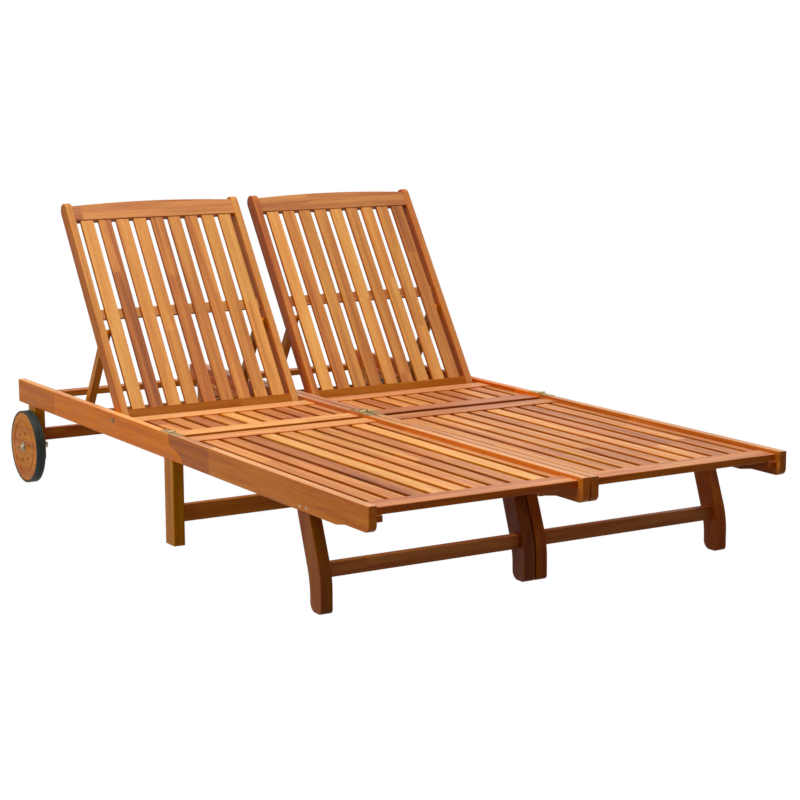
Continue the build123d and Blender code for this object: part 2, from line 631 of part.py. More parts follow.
# Backrest
def stiles(rails):
    """Side pieces of the backrest, round at both ends, bored for their pivot bolts and pegs."""
    total = STILE_HEIGHT + STILE_DEPTH / 2
    side_planes = planes_behind(rails, STILE_SIDE_GAP, STILE_SIDE_GAP + STILE_THICKNESS)
    with BuildSketch(*[back_side_plane(plane.origin.X) for plane in side_planes]) as outline:
        with Locations((STILE_HEIGHT - total / 2, STILE_FRONT - STILE_DEPTH / 2)):
            SlotOverall(total, STILE_DEPTH)
    extrude(outline.sketch, amount=STILE_THICKNESS)
    fillet(faces().filter_by(Axis.X).edges(), radius=EDGE_ROUND)
    bore_start = STILE_SIDE_GAP - OVERRUN
    bore_end = STILE_SIDE_GAP + PIVOT_BOLT_REACH + SIDE_CLEARANCE
    rods_along_x(planes_behind(rails, bore_start, bore_end), PIVOT, PIVOT_BOLT_DIAMETER + 2 * FIT_CLEARANCE,
                 bore_end - bore_start, Mode.SUBTRACT)
    rods_along_x(side_planes, PEG, PEG_DIAMETER + 2 * FIT_CLEARANCE, STILE_THICKNESS, Mode.SUBTRACT)


def crest(side):
    """Top rail of the backrest, with its upper edge arched."""
    left, right = x_range(side, BACK_INNER, BACK_OUTER)
    end_top = CREST_BOTTOM + CREST_END_HEIGHT
    with BuildSketch(back_face_plane(BACK_RAIL_FRONT - BACK_RAIL_THICKNESS)) as outline:
        with BuildLine():
            Polyline((left, end_top), (left, CREST_BOTTOM), (right, CREST_BOTTOM), (right, end_top))
            ThreePointArc((left, end_top), ((left + right) / 2, end_top + CREST_RISE), (right, end_top))
        make_face()
    extrude(outline.sketch, amount=BACK_RAIL_THICKNESS)
    long_edges = edges().filter_by(lambda edge: edge.length > UNIT_WIDTH / 2)
    fillet(long_edges, radius=EDGE_ROUND)


def bar_across_back(inset, middle, height, thickness):
    """Bar with rounded long edges across the backrest, at a height and depth on it."""
    left, right = inset
    with BuildSketch(back_side_plane(left)) as section:
        with Locations(middle):
            RectangleRounded(height, thickness, EDGE_ROUND)
    extrude(section.sketch, amount=right - left)


def back_slats(side):
    """Slats of the backrest, between its bottom rail and its crest."""
    depth = -(BACK_SLAT_BACK + BACK_SLAT_THICKNESS / 2)
    ranges = slat_ranges(side, BACK_INNER, BACK_OUTER, BACK_SLAT_WIDTH)
    with BuildSketch(back_section_plane(BOTTOM_RAIL_TOP)) as section:
        with Locations(*[(middle_of(x_span)[0], depth) for x_span in ranges]):
            RectangleRounded(BACK_SLAT_WIDTH, BACK_SLAT_THICKNESS, EDGE_ROUND)
    extrude(section.sketch, amount=CREST_BOTTOM - BOTTOM_RAIL_TOP)


# Props
def arms(side):
    """Arms of the prop, round at both ends, bored for their pegs and for the bar."""
    near_sides = (ARM_INNER_SIDE, ARM_OUTER_SIDE - ARM_THICKNESS)
    starts = [x_range(side, near, near + ARM_THICKNESS)[0] for near in near_sides]
    with BuildSketch(*[arm_plane(start) for start in starts]) as outline:
        with Locations((ARM_LENGTH / 2, 0)):
            SlotCenterToCenter(ARM_LENGTH, ARM_WIDTH)
        Circle(PEG_DIAMETER / 2 + FIT_CLEARANCE, mode=Mode.SUBTRACT)
        with Locations((ARM_LENGTH, 0)):
            Circle(BAR_DIAMETER / 2 + FIT_CLEARANCE, mode=Mode.SUBTRACT)
    extrude(outline.sketch, amount=ARM_THICKNESS)


# Wheels
def disc(side):
    """Wooden wheel disc with ring grooves in its faces, a rim groove for the tyre, and six holes."""
    near, far = x_range(side, WHEEL_INNER, WHEEL_OUTER)
    x_middle = (near + far) / 2
    bore = AXLE_DIAMETER / 2 + FIT_CLEARANCE
    with BuildSketch(Plane.XZ.offset(-AXLE_Y)) as section:
        with Locations((x_middle, WHEEL_RADIUS + (bore + DISC_RADIUS) / 2)):
            Rectangle(WHEEL_WIDTH, DISC_RADIUS - bore)
        fillet(section.vertices().group_by(Axis.Y)[-1], radius=DISC_ROUND)
        with Locations((x_middle, WHEEL_RADIUS + DISC_RADIUS)):
            Rectangle(RIM_GROOVE_WIDTH, 2 * RIM_GROOVE_DEPTH, mode=Mode.SUBTRACT)
        with Locations((near, WHEEL_RADIUS + DISC_GROOVE_RADIUS), (far, WHEEL_RADIUS + DISC_GROOVE_RADIUS)):
            Rectangle(2 * DISC_GROOVE_DEPTH, DISC_GROOVE_WIDTH, mode=Mode.SUBTRACT)
    revolve(section.sketch, AXLE_LINE)
    with BuildSketch(Plane.YZ.offset(near)) as holes:
        with Locations(AXLE):
            with PolarLocations(DISC_HOLE_CIRCLE_RADIUS, DISC_HOLE_COUNT, start_angle=DISC_HOLE_PHASE):
                Circle(DISC_HOLE_DIAMETER / 2)
    extrude(holes.sketch, amount=WHEEL_WIDTH, mode=Mode.SUBTRACT)


def tyre_ring(side):
    """Rubber tyre: a tread with a groove round it, and the bead that sits in the disc's rim."""
    x_middle = side * (WHEEL_INNER + WHEEL_OUTER) / 2
    tread = WHEEL_RADIUS - DISC_RADIUS
    bead = RIM_GROOVE_DEPTH - FIT_CLEARANCE
    with BuildSketch(Plane.XZ.offset(-AXLE_Y)) as section:
        with Locations((x_middle, WHEEL_RADIUS + DISC_RADIUS + tread / 2)):
            Rectangle(WHEEL_WIDTH, tread)
        fillet(section.vertices().group_by(Axis.Y)[-1], radius=TYRE_ROUND)
        with Locations((x_middle, 2 * WHEEL_RADIUS)):
            Rectangle(TREAD_GROOVE_WIDTH, 2 * TREAD_GROOVE_DEPTH, mode=Mode.SUBTRACT)
        with Locations((x_middle, WHEEL_RADIUS + DISC_RADIUS - bead / 2)):
            Rectangle(RIM_GROOVE_WIDTH - 2 * FIT_CLEARANCE, bead)
    revolve(section.sketch, AXLE_LINE)


def axle_cap(side, base):
    """Domed cap over the end of the axle bolt, outside the wheel."""
    edge = base + AXLE_CAP_EDGE
    top = base + AXLE_CAP_HEIGHT
    rim = WHEEL_RADIUS + AXLE_CAP_DIAMETER / 2
    with BuildSketch(Plane.XZ.offset(-AXLE_Y)) as profile:
        with BuildLine():
            Polyline((side * top, WHEEL_RADIUS), (side * base, WHEEL_RADIUS), (side * base, rim),
                     (side * edge, rim))
            Spline((side * edge, rim), (side * top, WHEEL_RADIUS), tangents=((side, 0), (0, -1)))
        make_face()
    revolve(profile.sketch, AXLE_LINE)


def axle_bolt(side):
    """Axle bolt through a wheel leg, with its cap, washers and nut as separate solids."""
    leg_inner = UNIT_OUTER - LEG_THICKNESS
    nut_base = leg_inner - AXLE_WASHER_THICKNESS
    nut_end = nut_base - AXLE_NUT_HEIGHT
    washer_base = WHEEL_OUTER + FACE_CLEARANCE
    cap_base = washer_base + AXLE_WASHER_THICKNESS
    rods_along_x(planes_between([side], nut_end, cap_base), AXLE, AXLE_DIAMETER, cap_base - nut_end)
    axle_cap(side, cap_base)
    spacer_end = WHEEL_INNER - FACE_CLEARANCE
    for near, far in ((nut_base, leg_inner), (UNIT_OUTER, spacer_end), (washer_base, cap_base)):
        planes = planes_between([side], near, far)
        rings_along_x(planes, AXLE, AXLE_WASHER_DIAMETER, AXLE_DIAMETER, far - near)
    with BuildSketch(*planes_between([side], nut_end, nut_base)) as nut:
        with Locations(AXLE):
            RegularPolygon(AXLE_NUT_WIDTH / 2, 6, major_radius=False)
            Circle(AXLE_DIAMETER / 2 + FIT_CLEARANCE, mode=Mode.SUBTRACT)
    extrude(nut.sketch, amount=AXLE_NUT_HEIGHT)


AXLE_LINE = Axis((0, AXLE_Y, WHEEL_RADIUS), (1, 0, 0))
os.makedirs("parts", exist_ok=True)

# Fixed frame: side rails
for side_name, side in SIDES.items():
    for place_name, inner in (("outer", False), ("inner", True)):
        with BuildPart() as side_rail:
            frame_side_rail((side, inner))
        write_piece(side_rail.part, f"{side_name}_{place_name}_side_rail")

# Fixed frame: the seat
SEAT_SLATS_Y = (FOLD_Y + CROSS_RAIL_WIDTH, SEAT_REAR - CROSS_RAIL_WIDTH)
with BuildPart() as seat_ledgers:
    ledgers(ALL_RAILS, FOLD_Y, SEAT_SLATS_Y, SEAT_REAR)
write_piece(seat_ledgers.part, "seat_ledgers")

with BuildPart() as seat_cross_rails:
    cross_rails(SIDES.values(), FOLD_Y)
    cross_rails(SIDES.values(), SEAT_SLATS_Y[1])
write_piece(seat_cross_rails.part, "seat_cross_rails")

with BuildPart() as seat_slats:
    lengthwise_slats(SIDES.values(), SEAT_SLATS_Y)
write_piece(seat_slats.part, "seat_slats")

HEAD_RAIL_REAR = HEAD_END - HEAD_RAIL_SETBACK
with BuildPart() as head_cross_rails:
    bars_along_x(planes_between(SIDES.values(), WELL_INNER, WELL_OUTER),
                 (HEAD_RAIL_REAR - HEAD_RAIL_WIDTH, HEAD_RAIL_REAR),
                 (HEAD_RAIL_TOP - CROSS_RAIL_THICKNESS, HEAD_RAIL_TOP), WELL_OUTER - WELL_INNER)
write_piece(head_cross_rails.part, "head_cross_rails")

# Fixed frame: posts, legs and stretchers
with BuildPart() as mid_posts:
    straight_legs(ALL_RAILS, MID_POST_Y, 0)
write_piece(mid_posts.part, "mid_posts")

with BuildPart() as wheel_legs:
    straight_legs(OUTER_RAILS, WHEEL_LEG_Y, WHEEL_LEG_BOTTOM)
    fillet(edges().filter_by(Axis.X).group_by(Axis.Z)[0], radius=WHEEL_LEG_ROUND)
    rods_along_x(planes_behind(OUTER_RAILS, -RAIL_THICKNESS, TONGUE_THICKNESS), AXLE,
                 AXLE_DIAMETER + 2 * FIT_CLEARANCE, LEG_THICKNESS, Mode.SUBTRACT)
write_piece(wheel_legs.part, "wheel_legs")

with BuildPart() as inner_rear_legs:
    straight_legs(INNER_RAILS, WHEEL_LEG_Y, 0)
write_piece(inner_rear_legs.part, "inner_rear_legs")

STRETCHER_INSET = (LEG_DEPTH - STRETCHER_THICKNESS) / 2
with BuildPart() as mid_stretchers:
    stretchers(SIDES.values(), MID_POST_Y + STRETCHER_INSET, MID_STRETCHER_BOTTOM, MID_STRETCHER_HEIGHT)
write_piece(mid_stretchers.part, "mid_stretchers")

with BuildPart() as rear_stretchers:
    stretchers(SIDES.values(), WHEEL_LEG_Y + STRETCHER_INSET, REAR_STRETCHER_BOTTOM, REAR_STRETCHER_HEIGHT)
write_piece(rear_stretchers.part, "rear_stretchers")

# Fixed frame: racks and metal parts
with BuildPart() as notched_racks:
    notched_racks_on(ALL_RAILS)
write_piece(notched_racks.part, "notched_racks")

with BuildPart() as leg_screw:
    screw(LEG_SCREW_LENGTH, SCREW_DIAMETER, SCREW_HEAD_DIAMETER)

with BuildPart() as rack_screw:
    screw(RACK_SCREW_LENGTH, SCREW_DIAMETER, SCREW_HEAD_DIAMETER)

with BuildPart() as leaf_screw:
    screw(LEAF_SCREW_LENGTH, LEAF_SCREW_DIAMETER, LEAF_SCREW_HEAD_DIAMETER)

with BuildPart() as frame_screws:
    with Locations(*leg_screw_planes(ALL_RAILS, MID_POST_Y), *leg_screw_planes(ALL_RAILS, WHEEL_LEG_Y)):
        add(leg_screw.part)
    with Locations(*rack_screw_planes(ALL_RAILS)):
        add(rack_screw.part)
    with Locations(*leaf_screw_planes(ALL_RAILS, 1)):
        add(leaf_screw.part)
write_piece(frame_screws.part, "frame_screws")

with BuildPart() as hinge_frame_leaves:
    hinge_leaves(ALL_RAILS, 1, range(1, KNUCKLE_COUNT, 2))
write_piece(hinge_frame_leaves.part, "hinge_frame_leaves")

with BuildPart() as hinge_pins:
    rods_along_x([Plane.YZ.offset(start) for start in hinge_starts(ALL_RAILS)], FOLD_PIN, HINGE_PIN_DIAMETER,
                 HINGE_WIDTH)
write_piece(hinge_pins.part, "hinge_pins")

with BuildPart() as backrest_pivot_bolts:
    pivot_bolts(ALL_RAILS)
write_piece(backrest_pivot_bolts.part, "backrest_pivot_bolts")

with BuildPart() as joining_bolts:
    for place in joining_bolt_places():
        joining_bolt(place)
write_piece(joining_bolts.part, "joining_bolts")

with BuildPart() as axle_bolts:
    for side in SIDES.values():
        axle_bolt(side)
write_piece(axle_bolts.part, "axle_bolts")

# Foot sections
FOOT_SLATS_Y = (FOOT_FRONT + CROSS_RAIL_WIDTH, FOOT_REAR - CROSS_RAIL_WIDTH)
BATTEN_Y = (FOOT_SLATS_Y[0] + FOOT_SLATS_Y[1] - FOOT_BATTEN_WIDTH) / 2
for side_name, side in SIDES.items():
    rails = [(side, False), (side, True)]
    with BuildPart() as foot_side_rails:
        foot_rails(rails)
    write_piece(foot_side_rails.part, f"{side_name}_foot_side_rails")

    with BuildPart() as foot_front_cross_rail:
        cross_rails([side], FOOT_FRONT)
    write_piece(foot_front_cross_rail.part, f"{side_name}_foot_front_cross_rail")

    with BuildPart() as foot_rear_cross_rail:
        cross_rails([side], FOOT_SLATS_Y[1])
    write_piece(foot_rear_cross_rail.part, f"{side_name}_foot_rear_cross_rail")

    with BuildPart() as foot_ledgers:
        ledgers([(side, False)], FOOT_END + LEDGER_SETBACK, FOOT_SLATS_Y, FOOT_REAR)
        ledgers([(side, True)], FOOT_SLATS_Y[0], FOOT_SLATS_Y, FOOT_REAR)
    write_piece(foot_ledgers.part, f"{side_name}_foot_ledgers")

    with BuildPart() as foot_slats:
        lengthwise_slats([side], FOOT_SLATS_Y)
    write_piece(foot_slats.part, f"{side_name}_foot_slats")

    with BuildPart() as foot_batten:
        bars_along_x(planes_between([side], SLATS_INNER, SLATS_OUTER),
                     (BATTEN_Y, BATTEN_Y + FOOT_BATTEN_WIDTH),
                     (SLAT_BOTTOM - FOOT_BATTEN_THICKNESS, SLAT_BOTTOM), SLATS_OUTER - SLATS_INNER)
    write_piece(foot_batten.part, f"{side_name}_foot_batten")

    with BuildPart() as foot_legs:
        curved_legs(rails)
    write_piece(foot_legs.part, f"{side_name}_foot_legs")

    with BuildPart() as foot_stretcher:
        stretchers([side], FOOT_END + FOOT_STRETCHER_FROM_END, FOOT_STRETCHER_BOTTOM, FOOT_STRETCHER_HEIGHT)
    write_piece(foot_stretcher.part, f"{side_name}_foot_stretcher")

    with BuildPart() as foot_hinge_leaves:
        hinge_leaves(rails, -1, range(0, KNUCKLE_COUNT, 2))
    write_piece(foot_hinge_leaves.part, f"{side_name}_foot_hinge_leaves")

    with BuildPart() as foot_screws:
        with Locations(*leg_screw_planes(rails, FOOT_LEG_TOP_Y)):
            add(leg_screw.part)
        with Locations(*leaf_screw_planes(rails, -1)):
            add(leaf_screw.part)
    write_piece(foot_screws.part, f"{side_name}_foot_screws")

# Backrests
for side_name, side in SIDES.items():
    rails = [(side, False), (side, True)]
    left, right = x_range(side, BACK_INNER, BACK_OUTER)
    with BuildPart() as backrest_stiles:
        stiles(rails)
    write_piece(backrest_stiles.part, f"{side_name}_backrest_stiles")

    with BuildPart() as crest_rail:
        crest(side)
    write_piece(crest_rail.part, f"{side_name}_crest_rail")

    with BuildPart() as bottom_rail:
        bar_across_back((left, right), (0, BACK_RAIL_MIDDLE), BOTTOM_RAIL_HEIGHT, BACK_RAIL_THICKNESS)
    write_piece(bottom_rail.part, f"{side_name}_bottom_rail")

    with BuildPart() as backrest_slats:
        back_slats(side)
    write_piece(backrest_slats.part, f"{side_name}_backrest_slats")

    batten_middle = (BACK_BATTEN_BOTTOM + BACK_BATTEN_HEIGHT / 2, BACK_SLAT_BACK - BACK_BATTEN_THICKNESS / 2)
    with BuildPart() as backrest_batten:
        bar_across_back((left + BACK_BATTEN_END_GAP, right - BACK_BATTEN_END_GAP), batten_middle,
                        BACK_BATTEN_HEIGHT, BACK_BATTEN_THICKNESS)
    write_piece(backrest_batten.part, f"{side_name}_backrest_batten")

    peg_length = STILE_THICKNESS + SIDE_CLEARANCE + ARM_THICKNESS + PEG_STAND_OUT
    with BuildPart() as prop_pegs:
        rods_along_x(planes_behind(rails, STILE_SIDE_GAP, STILE_SIDE_GAP + peg_length), PEG, PEG_DIAMETER,
                     peg_length)
    write_piece(prop_pegs.part, f"{side_name}_prop_pegs")

# Props
for side_name, side in SIDES.items():
    with BuildPart() as prop_arms:
        arms(side)
    write_piece(prop_arms.part, f"{side_name}_prop_arms")

    with BuildPart() as prop_bar:
        rods_along_x(planes_between([side], ARM_INNER_SIDE, ARM_OUTER_SIDE), (BAR_Y, BAR_Z), BAR_DIAMETER,
                     ARM_OUTER_SIDE - ARM_INNER_SIDE)
    write_piece(prop_bar.part, f"{side_name}_prop_bar")

# Wheels
for side_name, side in SIDES.items():
    with BuildPart() as wheel_disc:
        disc(side)
    write_piece(wheel_disc.part, f"{side_name}_wheel_disc")

    with BuildPart() as tyre:
        tyre_ring(side)
    write_piece(tyre.part, f"{side_name}_tyre")
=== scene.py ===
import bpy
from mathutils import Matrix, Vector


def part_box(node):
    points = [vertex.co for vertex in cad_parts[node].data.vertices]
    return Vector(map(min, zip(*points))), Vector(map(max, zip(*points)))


bl_info = {
    "name": "Double chaise lounger",
    "version": (1, 0, 0),
    "blender": (4, 5, 0),
    "location": "View3D > Sidebar > Lounger",
    "description": "Dresses a double wooden chaise lounger in oiled acacia, steel and rubber",
    "category": "Object",
}

from math import cos, radians, sin, tau

import bpy
import numpy as np
from bpy.props import FloatProperty, FloatVectorProperty, PointerProperty
from mathutils import Matrix, Vector

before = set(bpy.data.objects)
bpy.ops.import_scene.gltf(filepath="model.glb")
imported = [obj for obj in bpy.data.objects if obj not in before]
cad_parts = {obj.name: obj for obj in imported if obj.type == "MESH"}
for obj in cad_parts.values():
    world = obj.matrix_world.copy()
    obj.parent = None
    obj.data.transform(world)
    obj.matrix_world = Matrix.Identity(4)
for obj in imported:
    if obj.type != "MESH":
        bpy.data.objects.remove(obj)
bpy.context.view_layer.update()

# The lounger, in metres
MM = 0.001
SIDES = ("left", "right")
SLAT_COUNT = 9
SEAT_SLAT_WIDTH = 38 * MM
BACK_SLAT_WIDTH = 37 * MM
BACK_ANGLE = radians(56.07)
ARM_ANGLE = radians(58.6)

# Directions that grain runs in and that wide faces look in
ALONG = (0.0, 1.0, 0.0)
ACROSS = (1.0, 0.0, 0.0)
UPRIGHT = (0.0, 0.0, 1.0)
UP_BACKREST = (0.0, cos(BACK_ANGLE), sin(BACK_ANGLE))
OUT_OF_BACKREST = (0.0, -sin(BACK_ANGLE), cos(BACK_ANGLE))
DOWN_PROP = (0.0, cos(ARM_ANGLE), -sin(ARM_ANGLE))

# Cells that each hold one board, or boards cut from one: their sizes along X, Y and Z, and where
# one of them starts. A rail cell is as wide as a lounger, so its two like rails match.
WHOLE = 20.0
RAIL_CELLS = ((0.6, WHOLE, WHOLE), (-3.0, -WHOLE / 2, -WHOLE / 2))
LEG_CELLS = ((0.3, 0.4, WHOLE), (-3.0, -3.0, -WHOLE / 2))
CROSS_CELLS = ((WHOLE, 0.2, WHOLE), (0.0, -3.045, -WHOLE / 2))
BACK_CROSS_CELLS = ((WHOLE, WHOLE, 0.25), (0.0, -WHOLE / 2, -3.1))

# Oiled acacia. Limits are the values between which a noise or a cosine takes effect, and stops
# are places on a ramp of colours.
BLOCKS_PER_SEED = 50.0
BLOCK_SHIFT = (7.0, 0.9, 0.9)
RING_SLANT = 0.6
MEAN_SHARE = 0.5
HEART_STOPS = (0.12, 0.42, 0.68, 1.0)
HEART_TWIST = 0.3
PORE_LIMITS = (0.56, 0.72)
SAWN_END_LIMITS = (0.7, 0.95)
# Painted shade on edges turned away from the wide face
EDGE_SHADE_LIMITS = (0.5, 0.9)
UNTURNED_HUE = 0.5
SHEEN_LENGTH_SHARE = 0.25
SHEEN_WIDTH_SHARE = 0.5
SHEEN_LIMITS = (0.3, 0.7)
SHEEN_SPREAD = (-0.07, 0.08)
RING_RELIEF = -0.12
WOOD_BUMP = 0.35
OIL_IOR = 1.47

# Zinc plating
SCREW_GRAIN = 1.5 * MM
LEAF_GRAIN = 4 * MM
MOTTLE_ROUGHNESS = 0.65
MOTTLE_STOPS = (0.30, 0.62)
MOTTLE_LIMITS = (0.2, 0.8)
PLATING_SPREAD = (-0.08, 0.14)
SPOT_GRAINS = 6
SPOT_LIMITS = (0.52, 0.75)
SPOT_STRENGTH = 0.6
PLATING_BUMP = 0.2
PLATING_DEPTH = 0.05 * MM

# Moulded rubber
DUST_ROUGHNESS = 0.6
DUST_STOPS = (0.35, 0.75)
DUST_LIMITS = (0.2, 0.8)
DUST_SPREAD = (-0.08, 0.08)
PEBBLE_BUMP = 0.4
PEBBLE_DEPTH = 0.08 * MM
RUBBER_IOR = 1.52
RUBBER_GLOSS = 0.3

# Stage: how wide the lights are, where they stand and what they face, in metres
KEY_LIGHT = (2.0, (-0.5, -0.3, 4.5), (0.0, 0.0, 0.3))
SIDE_LIGHT = (2.5, (-5.0, -0.6, 2.0), (-0.3, 0.0, 0.3))
PAPER_ROUGHNESS = 0.9
WHITE_STRENGTH = 1.0
PHOTO_WIDTH = 800

# Number of a mix node's output that holds a colour
MIXED_COLOUR = 2


# Colours
def linear(code):
    """An sRGB hex colour as linear red, green, blue and alpha."""
    values = np.array([int(code[start:start + 2], 16) for start in (1, 3, 5)]) / 255
    bright = ((values + 0.055) / 1.055) ** 2.4
    return (*np.where(values > 0.04045, bright, values / 12.92), 1.0)


def shade(code):
    """An sRGB hex colour as the linear colour that a property holds."""
    return linear(code)[:3]


def opaque(colour):
    """A property's colour with its alpha."""
    return (*colour, 1.0)


# Material nodes
def new_material(name):
    """A new material, its node tree, its surface shader and its texture coordinates."""
    material = bpy.data.materials.new(name)
    material.use_nodes = True
    tree = material.node_tree
    return material, tree, tree.nodes["Principled BSDF"], add_node(tree, "ShaderNodeTexCoord")


def add_node(tree, kind, inputs=(), stops=(), **settings):
    """A node with its settings, and with its inputs set to values or linked to sockets.

    The inputs are a list in the node's own order, or a dictionary of their identifiers. Stops are
    the places and colours of a ramp, in rising order.
    """
    node = tree.nodes.new(kind)
    for name, value in settings.items():
        setattr(node, name, value)
    sockets = {socket.identifier: socket for socket in node.inputs}
    for name, value in inputs.items() if isinstance(inputs, dict) else zip(sockets, inputs):
        if isinstance(value, bpy.types.NodeSocket):
            tree.links.new(value, sockets[name])
        else:
            sockets[name].default_value = value
    for index, (place, colour) in enumerate(stops):
        elements = node.color_ramp.elements
        element = elements[index] if index < len(elements) else elements.new(place)
        element.position = place
        element.color = colour
    return node


def streaks(tree, spot, length, width, detail, roughness=0.5, twist=0.0):
    """Noise drawn out along X, between 0 and 1, with marks about this long and wide in metres."""
    stretch = (1 / length, 1 / width, 1 / width)
    stretched = add_node(tree, "ShaderNodeVectorMath", [spot, stretch],
                         operation="MULTIPLY").outputs[0]
    return add_node(tree, "ShaderNodeTexNoise", {
        "Vector": stretched, "Scale": 1.0, "Detail": detail, "Roughness": roughness,
        "Distortion": twist}).outputs["Fac"]


def facing(tree, place, direction, limits, shares):
    """A share that depends on how far a surface faces a direction or its opposite.

    The size of the dot product of the surface's normal and the direction is 0 edge on and 1 face
    on. Between the two limits for it, the share goes from the first to the second.
    """
    cosine = add_node(tree, "ShaderNodeVectorMath", [place.outputs["Normal"], direction],
                      operation="DOT_PRODUCT").outputs["Value"]
    size = add_node(tree, "ShaderNodeMath", [cosine], operation="ABSOLUTE").outputs[0]
    return add_node(tree, "ShaderNodeMapRange", [size, *limits, *shares]).outputs[0]


# Oiled acacia
def timber(tree, spot, wood, grain, cells, seed):
    """Where in its timber a place lies, its board's chance number and its block's three.

    A board is the cell that the place falls in. It is glued up of blocks with finger joints, as
    such boards are, and each block is its own stretch of timber. The grain is turned to run
    along X.
    """
    pitch, start = cells
    cell = add_node(tree, "ShaderNodeVectorMath", [spot, start], operation="SUBTRACT").outputs[0]
    cell = add_node(tree, "ShaderNodeVectorMath", [cell, pitch], operation="DIVIDE").outputs[0]
    cell = add_node(tree, "ShaderNodeVectorMath", [cell], operation="FLOOR").outputs[0]
    board = add_node(tree, "ShaderNodeTexWhiteNoise", [cell, float(seed)],
                     noise_dimensions="4D").outputs["Value"]
    turn = Vector(grain).rotation_difference(Vector(ACROSS)).to_euler()
    turned = add_node(tree, "ShaderNodeVectorRotate", {"Vector": spot, "Rotation": turn},
                      rotation_type="EULER_XYZ").outputs[0]

    # Blocks along the board: their joints zigzag over its width, and start at a chance place
    parts = add_node(tree, "ShaderNodeSeparateXYZ", [turned]).outputs
    along = add_node(tree, "ShaderNodeMath", [parts["Y"], parts["Z"]], operation="ADD").outputs[0]
    along = add_node(tree, "ShaderNodeMath", [along, wood.finger_width / 2],
                     operation="PINGPONG").outputs[0]
    along = add_node(tree, "ShaderNodeMath",
                     [along, 2 * wood.finger_length / wood.finger_width, parts["X"]],
                     operation="MULTIPLY_ADD").outputs[0]
    along = add_node(tree, "ShaderNodeMath", [along, wood.block_length],
                     operation="DIVIDE").outputs[0]
    along = add_node(tree, "ShaderNodeMath", [along, board], operation="ADD").outputs[0]
    number = add_node(tree, "ShaderNodeMath", [along], operation="FLOOR").outputs[0]
    number = add_node(tree, "ShaderNodeMath", [number, seed * BLOCKS_PER_SEED],
                      operation="ADD").outputs[0]
    block = add_node(tree, "ShaderNodeTexWhiteNoise", [cell, number],
                     noise_dimensions="4D").outputs["Color"]
    chance = add_node(tree, "ShaderNodeSeparateColor", [block]).outputs
    moved = add_node(tree, "ShaderNodeVectorMath", [block, BLOCK_SHIFT, turned],
                     operation="MULTIPLY_ADD").outputs[0]
    return moved, board, chance


def growth_rings(tree, moved, wood):
    """Wavy bands a few millimetres wide, from -1 to 1, which show as long flames when sawn.

    They are the sine of the distance across the grain, pushed sideways by a long noise.
    """
    wander = streaks(tree, moved, wood.wander_length, wood.wander_width, detail=2.0)
    parts = add_node(tree, "ShaderNodeSeparateXYZ", [moved]).outputs
    rings = add_node(tree, "ShaderNodeMath", [parts["Z"], RING_SLANT, parts["Y"]],
                     operation="MULTIPLY_ADD").outputs[0]
    rings = add_node(tree, "ShaderNodeMath", [wander, wood.wander, rings],
                     operation="MULTIPLY_ADD").outputs[0]
    rings = add_node(tree, "ShaderNodeMath", [rings, tau / wood.ring_spacing],
                     operation="MULTIPLY").outputs[0]
    return add_node(tree, "ShaderNodeMath", [rings], operation="SINE").outputs[0]


def heartwood(tree, moved, wood, board, chance, rings):
    """The share of heartwood: by block and board, in long streaks, and finely by ring."""
    heart = streaks(tree, moved, wood.streak_length, wood.streak_width, detail=3.0,
                    twist=HEART_TWIST)
    share = add_node(tree, "ShaderNodeMapRange", [
        chance["Red"], 0.0, 1.0, -wood.block_variation / 2, wood.block_variation / 2]).outputs[0]
    share = add_node(tree, "ShaderNodeMath", [board, wood.board_variation, share],
                     operation="MULTIPLY_ADD").outputs[0]
    share = add_node(tree, "ShaderNodeMath", [
        share, MEAN_SHARE - wood.board_variation / 2 - wood.streak_strength / 2],
        operation="ADD").outputs[0]
    share = add_node(tree, "ShaderNodeMath", [heart, wood.streak_strength, share],
                     operation="MULTIPLY_ADD").outputs[0]
    return add_node(tree, "ShaderNodeMath", [rings, wood.ring_strength, share],
                    operation="MULTIPLY_ADD").outputs[0]


